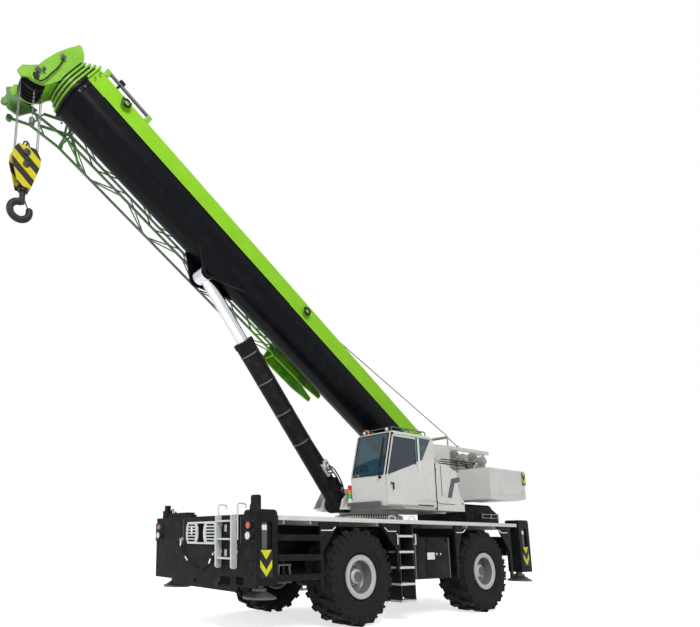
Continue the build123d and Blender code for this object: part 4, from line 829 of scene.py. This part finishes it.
for y, z, tall in ((-0.62, 1.78, 0.50), (1.36, 1.80, 0.46)):
    add_bar(seams, at(panel_face + 0.002, y, z), (0.006, 0.014, tall), 0.002)
show("panel_cover_strips", seams, slate_paint, "carrier")
print("front panel dressed")

# %% Right front corner post and valve box
corner = bmesh.new()
for place, size, soft in (((4.66, -1.62, 2.16), (0.14, 0.20, 0.17), 0.012),
                          ((4.66, -1.62, 2.30), (0.10, 0.13, 0.12), 0.02),
                          ((4.66, -1.40, 2.13), (0.10, 0.20, 0.11), 0.01),
                          ((4.70, -0.50, 2.10), (0.12, 0.16, 0.06), 0.01)):
    add_bar(corner, at(*place), size, soft)
add_bolts(corner, [at(4.731, y, z) for y in (-1.69, -1.55) for z in (2.11, 2.21)], ahead, 0.01)
show("corner_valves", corner, carrier_paint, "carrier")
bent_tubes("corner_hoses", [
    with_tight_corners([at(4.66, -1.46, 2.25), at(4.66, -1.38, 2.27), at(4.64, -1.34, 2.12)], 0.03),
    with_tight_corners([at(4.66, -1.30, 2.15), at(4.66, -1.26, 2.22), at(4.64, -1.22, 2.12)], 0.03)],
    0.012, hose_black, "carrier")
print("corner ready")

# %% [markdown]
# ## Warning plates
# Each outrigger leg, and each rear corner of the counterweight, wears a dark plate with yellow chevrons. The leg's
# plate is a thin sheet laid on the housing, so it slides out with the beam. Plain sheets beat a decal here, because
# they need no picture and keep sharp edges.

# %% Chevron plates
def chevron(name, x0, x1, z0, z1, side, face, body):
    """A dark plate with a yellow point above a yellow band, on a side face."""
    middle = (x0 + x1) / 2
    tall = z1 - z0
    depth = 0.003 * side
    show_bar(name + "_plate", at(middle, side * face + depth, (z0 + z1) / 2), (x1 - x0, 0.006, tall), 0.002,
             warning_black, body)
    marks = bmesh.new()
    lifted = side * face + 2 * depth
    point = [(x0 + 0.02, z1 - 0.01), (x1 - 0.02, z1 - 0.01), (middle, z1 - 0.36 * tall)]
    band = [(x0 + 0.01, z1 - 0.36 * tall), (middle, z1 - 0.72 * tall), (x1 - 0.01, z1 - 0.36 * tall),
            (x1 - 0.01, z1 - 0.62 * tall), (middle, z0 + 0.02), (x0 + 0.01, z1 - 0.62 * tall)]
    for outline in (point, band):
        add_sheet(marks, [at(x, lifted, z) for x, z in outline], 0.5 * depth)
    show(name + "_marks", marks, warning_yellow, body, False)


leg_face = 1.660
for side, word in both_sides:
    chevron("front_chevron_" + word, 4.371, 4.653, 1.0, 1.48, side, leg_face, "beam_front_" + word)
    chevron("rear_chevron_" + word, -4.10, -3.82, 1.02, 1.50, side, leg_face, "beam_rear_" + word)
    chevron("weight_chevron_" + word, -4.37, -4.20, 3.09, 3.43, side, 1.600, "turret")
print("chevrons ready")

# %% Bolts of the leg housings
for body, x_low, x_high in (("beam_front", 4.28, 4.69), ("beam_rear", -4.165, -3.755)):
    for side, word in both_sides:
        heads = bmesh.new()
        add_bolts(heads, [at(x, side * leg_face, z) for x in (x_low, x_high) for z in (0.92, 1.24, 2.06)],
                  (0, side, 0), 0.010)
        show(f"{body}_bolts_{word}", heads, warning_black, f"{body}_{word}")
print("leg bolts ready")

# %% [markdown]
# ## Deck edge, side ladder and boxes
# White bent handles hang under the deck edge, and the side ladder has a grab bar at each side of its top tread. A
# bent bar is one tube whose corners are tight and whose runs are straight.

# %% Handles under the deck
guard_face = 1.672
plate_inside = 1.650
handle_runs = [
    [(3.19, 1.821), (2.911, 1.825), (2.835, 1.885)], [(1.413, 1.891), (1.323, 1.825), (1.068, 1.828)],
    [(-1.042, 1.825), (-1.268, 1.828), (-1.375, 1.887)], [(-2.783, 1.901), (-2.887, 1.838), (-3.14, 1.84)],
]
handle_routes = []
for side in (1, -1):
    for run in handle_runs:
        corners = [at(x, side * guard_face, z) for x, z in run]
        ends = [at(x, side * plate_inside, z) for x, z in (run[0], run[-1])]
        handle_routes.append(with_tight_corners([ends[0], *corners, ends[1]], 0.015))
bent_tubes("deck_handles", handle_routes, 0.011, white_paint, "carrier")
grab_outline = ((1.60, 1.765), (1.675, 1.765), (1.675, 1.565), (1.60, 1.565))
grab_routes = [with_tight_corners([at(x, side * y, z) for y, z in grab_outline], 0.03)
               for side in (1, -1) for x in (1.03, 0.45)]
bent_tubes("ladder_grabs", grab_routes, 0.012, white_paint, "carrier")
print("handles", len(handle_routes), "grab bars", len(grab_routes))

# %% Treads of the side ladder
grips = bmesh.new()
for side in (1, -1):
    for z in tread_heights:
        add_bar(grips, at(0.74, side * 1.652, z + 0.002), (0.425, 0.012, 0.046), 0.004)
        for k in range(7):
            add_bar(grips, at(0.74, side * (1.47 + 0.026 * k), z + 0.018), (0.40, 0.010, 0.008), 0.002)
show("tread_grips", grips, ladder_metal, "carrier")
print("treads", 2 * len(tread_heights))

# %% Box doors, tank caps and blank plates
box_middle_z = 1.27
doors = bmesh.new()
plates = bmesh.new()
straps = bmesh.new()
for side in (1, -1):
    for x, long in ((-0.38, 0.82), (0.24, 0.34)):
        add_bar(doors, at(x, side * 1.603, box_middle_z), (long, 0.010, 0.80), 0.004)
    for x in (-0.72, -0.05):
        add_rod(doors, at(x, side * 1.612, 1.60), at(x, side * 1.612, 1.70), 0.014)
    add_turned(doors, [(0.07, 0.0), (0.07, 0.03), (0.055, 0.045), (0.055, 0.07), (0.04, 0.08)],
               at(0.15, side * 1.45, 1.715), upward, 24)
    add_bar(plates, at(-0.135, side * 1.609, 1.31), (0.26, 0.004, 0.15), 0.001)
    for x in (-0.337, -0.473):
        button = [(0.022, 0.0), (0.022, 0.008), (0.012, 0.012)]
        add_turned(plates, button, at(x, side * 1.607, 1.352), (0, side, 0), 16)
    for x in (-0.79, 0.40):
        add_bar(straps, at(x, side * 1.606, box_middle_z), (0.035, 0.012, 0.88), 0.003)
show("box_doors", doors, carrier_paint, "carrier")
show("blank_plates", plates, white_paint, "carrier")
show("box_straps", straps, dark_steel, "carrier")
print("boxes ready")

# %% Slot covers, foot gussets and the small step frame
for side, word in both_sides:
    for row, x in (("front", 4.53), ("rear", -3.915)):
        beam = f"beam_{row}_{word}"
        show_bar(f"{row}_slot_cover_{word}", at(x, side * 1.632, 1.71), (0.115, 0.014, 0.49), 0.004,
                 slate_paint, beam)
        show_bar(f"{row}_slot_plate_{word}", at(x, side * 1.641, 1.855), (0.11, 0.005, 0.09), 0.001,
                 white_paint, beam)
gussets = bmesh.new()
for y, top in ((-0.62, 2.80), (-0.40, 2.74), (0.40, 2.74)):
    slope = (top - 2.37) / 0.44 * 0.30
    outline = [at(x, y, z) for x, z in ((1.24, 2.36), (1.24 - slope, top), (1.13 - slope, top), (0.72, 2.36))]
    add_sheet(gussets, outline, 0.022)
show("foot_gussets", gussets, turret_paint, "turret")
frame_bars = bmesh.new()
for side in (1, -1):
    for z in (1.205, 0.905):
        add_bar(frame_bars, at(4.05, side * 1.50, z), (0.34, 0.20, 0.03), 0.006)
    for x, lean in ((3.90, 0.03), (4.20, -0.03)):
        for y, top in ((1.59, 1.20), (1.42, 1.38)):
            add_rod(frame_bars, at(x + lean, side * y, top), at(x, side * y, 0.91), 0.018)
show("step_frames", frame_bars, slate_paint, "carrier")
print("covers and gussets ready")

# %% Hood rails, louvres and the slewing ring's teeth
rails = bmesh.new()
for side in (1, -1):
    for z in (2.339, 2.244):
        add_rod(rails, at(-3.55, side * 0.79, z), at(-4.38, side * 0.79, z), 0.009)
    for x in (-3.6, -4.0, -4.34):
        add_bar(rails, at(x, side * 0.776, 2.292), (0.02, 0.034, 0.14), 0.003)
show("hood_rails", rails, white_paint, "carrier")
louvres = bmesh.new()
tilt = Matrix.Rotation(math.radians(28), 3, "X")
for side in (1, -1):
    turn = tilt if side > 0 else tilt.transposed()
    for row in range(6):
        for x in (-3.12, -3.37):
            add_bar(louvres, at(x, side * 0.762, 2.16 + 0.045 * row), (0.2, 0.02, 0.012), 0.003, turn)
show("hood_louvres", louvres, carrier_paint, "carrier")
teeth = bmesh.new()
tooth_count = 90
for k in range(tooth_count):
    angle = 2 * math.pi * k / tooth_count
    spin = Matrix.Rotation(angle, 3, "Z")
    add_bar(teeth, at(0.778 * math.cos(angle), 0.778 * math.sin(angle), 2.165), (0.05, 0.028, 0.085), 0.006, spin)
show("ring_teeth", teeth, bright_steel, "carrier")
print("teeth", tooth_count)

# %% [markdown]
# ## Cab
# The cab has a raked screen with one long wiper, a dark bumper strip, rubber joints beside its door and a low guard
# rail on the roof. The joints are thin dark bars, which read as gaps at this size and stay put when the door slides.

# %% Cab trim
def screen_x(z):
    """The raked screen's outer face at a height."""
    return 1.256 - 0.265 * (z - 3.0) / 0.96


show_bar("cab_bumper", at(1.254, 1.03, 2.387), (0.012, 0.86, 0.144), 0.004, slate_paint, "turret")
cab_side = 1.612
joints = bmesh.new()
add_bar(joints, at(-0.474, 1.598, 2.85), (0.022, 0.03, 1.06), 0.003)
add_bar(joints, at(-0.05, cab_side, 2.405), (0.60, 0.004, 0.026), 0.001)
add_bar(joints, at(0.225, cab_side, 2.95), (0.012, 0.006, 1.05), 0.002)
for y in (0.70, 1.545):
    add_rod(joints, at(screen_x(3.02) + 0.003, y, 3.02), at(screen_x(3.93) + 0.003, y, 3.93), 0.011, 8)
for z in (3.015, 3.94):
    add_rod(joints, at(screen_x(z) + 0.003, 0.70, z), at(screen_x(z) + 0.003, 1.545, z), 0.011, 8)
for back in (-0.012, -0.042):
    foot, top = [at(screen_x(z) + back, cab_side, z) for z in (3.02, 3.95)]
    add_rod(joints, foot, top, 0.017, 8)
show("cab_joints", joints, black_rubber, "turret")
handle = bmesh.new()
add_bar(handle, at(1.09, 1.685, 2.77), (0.036, 0.022, 0.15), 0.008)
add_bar(handle, at(1.085, 1.650, 2.835), (0.09, 0.014, 0.04), 0.006)
show("door_handle_cover", handle, black_rubber, "cab_door")
gasket = bmesh.new()
add_bar(gasket, at(0.631, 1.650, 3.845), (0.738, 0.008, 0.016), 0.003)
add_bar(gasket, at(0.262, 1.650, 3.56), (0.016, 0.008, 0.57), 0.003)
show("door_gasket", gasket, black_rubber, "cab_door")
show_bar("quarter_divider", at(0.09, 1.6085, 3.47), (0.055, 0.004, 0.86), 0.001, white_paint, "turret")
print("cab trim ready")

# %% Wiper, roof rails and work lamps
wiper = bmesh.new()
add_turned(wiper, [(0.03, 0), (0.03, 0.03), (0.02, 0.045)], at(screen_x(3.0), 1.47, 2.96), ahead, 16)
add_rod(wiper, at(screen_x(3.0) + 0.035, 1.47, 2.96), at(screen_x(3.45) + 0.035, 1.46, 3.45), 0.009)
add_rod(wiper, at(screen_x(3.45) + 0.035, 1.46, 3.45), at(screen_x(3.55) + 0.02, 1.44, 3.55), 0.007)
add_rod(wiper, at(screen_x(3.22) + 0.016, 1.43, 3.22), at(screen_x(3.86) + 0.016, 1.43, 3.86), 0.010)
show("wiper", wiper, black_rubber, "turret")
roof_z = 4.0
rail_z = roof_z + 0.10
rail_sides = (0.74, 1.50)
rail_outline = ((0.86, roof_z), (0.84, rail_z), (-0.30, rail_z), (-0.34, roof_z))
rail_routes = [with_tight_corners([at(x, y, z) for x, z in rail_outline], 0.05) for y in rail_sides]
rail_routes += [[at(x, y, rail_z) for y in (0.74, 1.12, 1.50)] for x in (0.80, 0.27, -0.26)]
rail_routes += [[at(0.27, y, z) for z in (roof_z, (roof_z + rail_z) / 2, rail_z)] for y in rail_sides]
bent_tubes("roof_rails", rail_routes, 0.012, slate_paint, "turret")
lamp_tilt = (1, 0, -0.15)
lamps = bmesh.new()
panes = bmesh.new()
for y in (0.80, 1.44):
    lamp = at(0.90, y, roof_z + 0.045)
    add_turned(lamps, [(0.03, -0.05), (0.055, -0.02), (0.055, 0.03), (0.046, 0.034)], lamp, lamp_tilt, 24)
    add_rod(lamps, lamp + Vector((0, 0, -0.05)), lamp, 0.012)
    add_turned(panes, [(0.045, 0.033), (0.03, 0.038), (0.01, 0.039)], lamp, lamp_tilt, 24)
show("roof_lamps", lamps, black_rubber, "turret")
show("roof_lamp_panes", panes, white_lens, "turret")
print("roof ready")

# %% Inside the cab
inside = bmesh.new()
add_bar(inside, at(1.02, 1.117, 2.78), (0.16, 0.55, 0.36), 0.04)
add_rod(inside, at(0.98, 1.117, 2.75), at(0.80, 1.117, 3.12), 0.028)
for y in (0.86, 1.38):
    add_bar(inside, at(0.22, y, 2.98), (0.42, 0.09, 0.10), 0.02)
    add_rod(inside, at(0.38, y, 3.02), at(0.40, y, 3.16), 0.012)
    add_turned(inside, [(0.01, 0.0), (0.026, 0.02), (0.026, 0.05), (0.012, 0.065)], at(0.40, y, 3.14), upward, 16)
add_bar(inside, at(1.00, 0.80, 3.22), (0.04, 0.22, 0.17), 0.012)
show("cab_controls", inside, seat_cloth, "turret")
hub = at(0.80, 1.117, 3.12)
turns = [2 * math.pi * k / 24 for k in range(25)]
rim = [hub + Vector((-0.06 * math.cos(a), 0.19 * math.sin(a), 0.17 * math.cos(a))) for a in turns]
bent_tubes("steering_wheel", [rim], 0.014, black_rubber, "turret")
print("controls ready")

# %% [markdown]
# ## Turret body
# The body panel has a dark folded stripe, and the counterweight has weld seams and a lashing eye on each side. Behind
# the cab the hoses of the winches run side by side, each with crimped ends.

# %% Panel stripe and locks
stripe = bmesh.new()
stripe_outline = [(-1.47, 3.13), (-1.13, 3.07), (-0.95, 2.62), (-1.105, 2.62), (-1.25, 2.97), (-1.47, 3.02)]
add_sheet(stripe, [at(x, 1.5605, z) for x, z in stripe_outline], 0.004)
show("panel_stripe", stripe, slate_paint, "turret", False)
fittings = bmesh.new()
for x, z in ((-0.55, 3.25), (-0.55, 2.50), (-1.52, 2.5), (-1.40, 3.26)):
    add_turned(fittings, [(0.026, 0), (0.026, 0.006), (0.014, 0.010)], at(x, 1.560, z), leftward, 16)
show("panel_locks_side", fittings, dark_steel, "turret")
shelf = bmesh.new()
add_bar(shelf, at(-0.90, 1.567, 2.47), (0.62, 0.010, 0.012), 0.003)
add_bar(shelf, at(-0.74, 1.567, 3.00), (0.012, 0.010, 0.70), 0.003)
show("panel_joints", shelf, dark_steel, "turret")
print("panel ready")

# %% Counterweight seams and eyes
welds = bmesh.new()
for side in (1, -1):
    for z in (3.38, 2.80):
        add_bar(welds, at(-3.45, side * 1.602, z), (1.45, 0.006, 0.010), 0.002)
    lashing_eye = [(0.05, 0), (0.05, 0.012), (0.032, 0.012), (0.03, 0.002)]
    add_turned(welds, lashing_eye, at(-4.18, side * 1.600, 2.90), (0, side, 0), 24)
show("weight_seams", welds, turret_paint, "turret")
print("weight ready")

# %% Winch hoses
hose_runs = []
for k in range(3):
    y = 0.70 + 0.034 * k
    z = 3.60 + 0.05 * k
    hose_runs.append([at(-1.75, y - 0.06, z), at(-2.25, y, z), at(-3.05, y, z), at(-3.55, y - 0.02, z)])
bent_tubes("winch_hoses", hose_runs, 0.014, hose_black, "turret")
crimps = bmesh.new()
for run in hose_runs:
    add_rod(crimps, run[-1] + Vector((0.08, 0.01, 0)), run[-1] + Vector((-0.03, 0, 0)), 0.021)
    add_rod(crimps, run[0], run[0].lerp(run[1], 0.4), 0.021)
show("winch_hose_ends", crimps, bright_steel, "turret")
print("winch hoses", len(hose_runs))

# %% [markdown]
# ## Boom
# The hoist rope climbs from the roller behind the cab, meets the boom's back and runs to the head. Two steel rods
# with green brackets lie beside it near the head.

# %% Hoist rope and top rods
rope_run = [(-0.336, 1.411), (1.866, 1.063), (4.088, 0.71), (6.60, 0.34), (7.4, 0.30), (9.0, 0.292), (10.6, 0.292),
            (11.9, 0.292)]
bent_tubes("hoist_rope", [[on_boom(s, 0.0, h) for s, h in rope_run]], 0.012, rope_steel, "boom")
rods = bmesh.new()
brackets = bmesh.new()
clamps = bmesh.new()
for y in (0.42, -0.42):
    add_rod(rods, on_boom(10.83, y, 0.40), on_boom(11.98, y, 0.40), 0.034)
    for s in (10.86, 11.92):
        add_bar(brackets, on_boom(s, y, 0.34), (0.11, 0.07, 0.17), 0.010, boom_turn)
    add_bar(clamps, on_boom(11.63, y, 0.37), (0.045, 0.05, 0.24), 0.008, boom_turn)
    add_bar(clamps, on_boom(11.63, y, 0.45), (0.12, 0.09, 0.09), 0.012, boom_turn)
show("boom_rods", rods, dark_steel, "boom")
show("boom_rod_brackets", brackets, fresh_green, "boom")
show("boom_rod_clamps", clamps, black_rubber, "boom")
print("rope points", len(rope_run))

# %% Collar bolts and guide discs
collar = bmesh.new()
for h in (-0.55, -0.38, -0.21, -0.04, 0.13):
    for y in (0.50, -0.498):
        stud = [(0.022, 0), (0.022, 0.008), (0.013, 0.016)]
        add_turned(collar, stud, on_boom(11.98, y, h), (0, 1 if y > 0 else -1, 0), 12)
show("collar_bolts", collar, dark_steel, "boom")
disc_places = ((11.317, 0.096), (5.753, 0.02))
disc_radius = 0.105
bolt_reach = 0.07
discs = bmesh.new()
loops = []
for s, h in disc_places:
    for radius, rise in ((disc_radius, 0.0), (0.55 * disc_radius, 0.012)):
        add_turned(discs, [(radius, 0.0), (radius, 0.014), (radius - 0.012, 0.02), (0.5 * radius, 0.02)],
                   on_boom(s, 0.512 + rise, h), leftward, 32)
    for turn in (0.5, 1.8, 3.1, 4.4, 5.6):
        place = on_boom(s + bolt_reach * math.cos(turn), 0.53, h + bolt_reach * math.sin(turn))
        add_bolts(discs, [place], leftward, 0.008)
    for reach, start in ((0.085, 0.3), (0.11, 2.2), (0.06, 4.0)):
        loops.append([on_boom(s + reach * math.cos(start + 0.9 * k), 0.545 + 0.008 * (k % 2),
                              h + reach * math.sin(start + 0.9 * k)) for k in range(6)])
show("guide_discs", discs, fresh_green, "boom")
bent_tubes("disc_hoses", loops, 0.011, hose_black, "boom")
print("boom dressed")

# %% Cylinder valve block and hoses
barrel_cos, barrel_sin = 0.6315088, 0.7753687
barrel_along = Vector((barrel_cos, 0, barrel_sin))
barrel_back = Vector((-barrel_sin, 0, barrel_cos))
barrel_foot = at(1.0, 0.0, 2.45)
barrel_turn = Matrix.Rotation(-math.atan2(barrel_sin, barrel_cos), 3, "Y")


def on_barrel(t, y, out):
    """A point of the lift cylinder's barrel: t along it from its foot, y across, out from its middle line."""
    return barrel_foot + barrel_along * t + barrel_back * out + Vector((0, y, 0))


block = bmesh.new()
add_bar(block, on_barrel(1.0, 0.255, 0.02), (0.34, 0.10, 0.20), 0.01, barrel_turn)
add_bar(block, on_barrel(1.16, 0.30, 0.03), (0.12, 0.08, 0.10), 0.01, barrel_turn)
for t in (0.90, 1.06):
    add_rod(block, on_barrel(t, 0.26, 0.02), on_barrel(t, 0.36, 0.02), 0.03, 6)
add_bolts(block, [on_barrel(t, 0.305, out) for t in (0.86, 1.12) for out in (-0.05, 0.09)], leftward, 0.012)
show("lift_valve", block, bright_steel, "lift_barrel")
hose_paths = (
    ((0.90, 0.35, 0.02), (0.88, 0.40, 0.02), (0.70, 0.41, 0.02), (0.45, 0.36, 0.02), (0.25, 0.28, 0.02)),
    ((1.06, 0.35, 0.02), (1.04, 0.43, 0.04), (0.74, 0.45, 0.05), (0.45, 0.40, 0.05), (0.22, 0.28, 0.05)),
    ((1.20, 0.29, 0.04), (1.6, 0.27, 0.03), (2.6, 0.235, 0.03), (3.6, 0.235, 0.03), (4.2, 0.228, 0.03)))
bent_tubes("lift_hoses", [[on_barrel(*place) for place in path] for path in hose_paths], 0.016, hose_black,
           "lift_barrel")
bands = bmesh.new()
for t in (1.8, 2.6, 3.4, 4.1):
    add_turned(bands, [(0.222, 0), (0.222, 0.03), (0.216, 0.034)], on_barrel(t, 0, 0), barrel_along, 40)
show("barrel_straps", bands, dark_steel, "lift_barrel")
print("cylinder dressed")

# %% [markdown]
# ## Head, warning weight and hook block
# Near the head hangs the weight that warns before the hook block meets the head. It is a collar on a chain. The hook
# block's cheeks carry slanted yellow and black stripes, drawn by the finish itself.

# %% Rope falls, and the eye on the hook block
fall_radius = 0.009
fall_inset = 0.010
low_fall, high_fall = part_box("rope_falls")
fall_heights = (low_fall.z, (low_fall.z + high_fall.z) / 2, high_fall.z)
falls = [[(x, y, z) for z in fall_heights] for x in (low_fall.x + fall_inset, high_fall.x - fall_inset)
         for y in (low_fall.y + fall_inset, high_fall.y - fall_inset)]
rope_falls = bent_tubes("hoist_falls", falls, fall_radius, rope_steel, "hook_block")
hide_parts("rope_falls")
low_block, high_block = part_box("hook_block")
block_middle = (low_block + high_block) / 2
eye_turns = [2 * math.pi * k / 20 for k in range(21)]
eye_ring = [(block_middle.x + 0.05 * math.cos(a), 0.0, high_block.z - 0.02 + 0.06 * math.sin(a)) for a in eye_turns]
bent_tubes("block_eye", [eye_ring], 0.014, hook_black, "hook_block")
caps = bmesh.new()
for side in (1, -1):
    for z in (block_middle.z + 0.22, block_middle.z - 0.02):
        face = Vector((block_middle.x, side * (high_block.y - 0.004), z))
        add_turned(caps, [(0.06, 0.0), (0.06, 0.006), (0.03, 0.010)], face, (0, side, 0), 24)
show("block_pin_caps", caps, hook_black, "hook_block")
print("falls", len(falls))

# %% Hose, boxes and valve on the head's cheeks
head_path = ((8.67, 9.71), (8.56, 9.68), (8.46, 9.79), (8.36, 9.97), (8.28, 10.09), (8.20, 10.27), (8.16, 10.40))
head_side = 0.345
head_hoses = [[at(x, side * head_side, z) for x, z in head_path] for side in (1, -1)]
bent_tubes("head_hoses", head_hoses, 0.013, hose_black, "boom_5")
head_fittings = bmesh.new()
for side in (1, -1):
    for x, z, size in ((8.60, 9.92, 0.10), (8.17, 10.42, 0.09), (8.50, 9.98, 0.06)):
        add_bar(head_fittings, at(x, side * head_side, z), (size, 0.04, 0.8 * size), 0.008, boom_turn)
        add_bolts(head_fittings, [at(x, side * 0.366, z)], (0, side, 0), 0.018)
show("head_fittings", head_fittings, slate_paint, "boom_5")
print("head hoses", len(head_hoses))

# %% Warning weight on its chain
link_count = 14
link_pitch = 0.042
chain_x, chain_y = 8.60, 0.16
chain = bmesh.new()
for k in range(link_count):
    link_middle = at(chain_x, chain_y, 9.60 - link_pitch * k)
    ring = []
    for step in range(12):
        a = 2 * math.pi * step / 12
        flat = Vector((0.012 * math.cos(a), 0, 0.026 * math.sin(a)))
        ring.append(flat if k % 2 else Vector((0, flat.x, flat.z)))
    for a, b in zip(ring, ring[1:] + ring[:1]):
        add_rod(chain, link_middle + a, link_middle + b, 0.0045, 6)
show("warning_chain", chain, rope_steel, "head_sheaves")
weight = bmesh.new()
add_turned(weight, [(0.03, 0), (0.05, 0.01), (0.05, 0.12), (0.03, 0.135)], at(chain_x, chain_y, 8.91), upward, 24)
show("warning_weight", weight, dark_steel, "head_sheaves")
print("chain links", link_count)
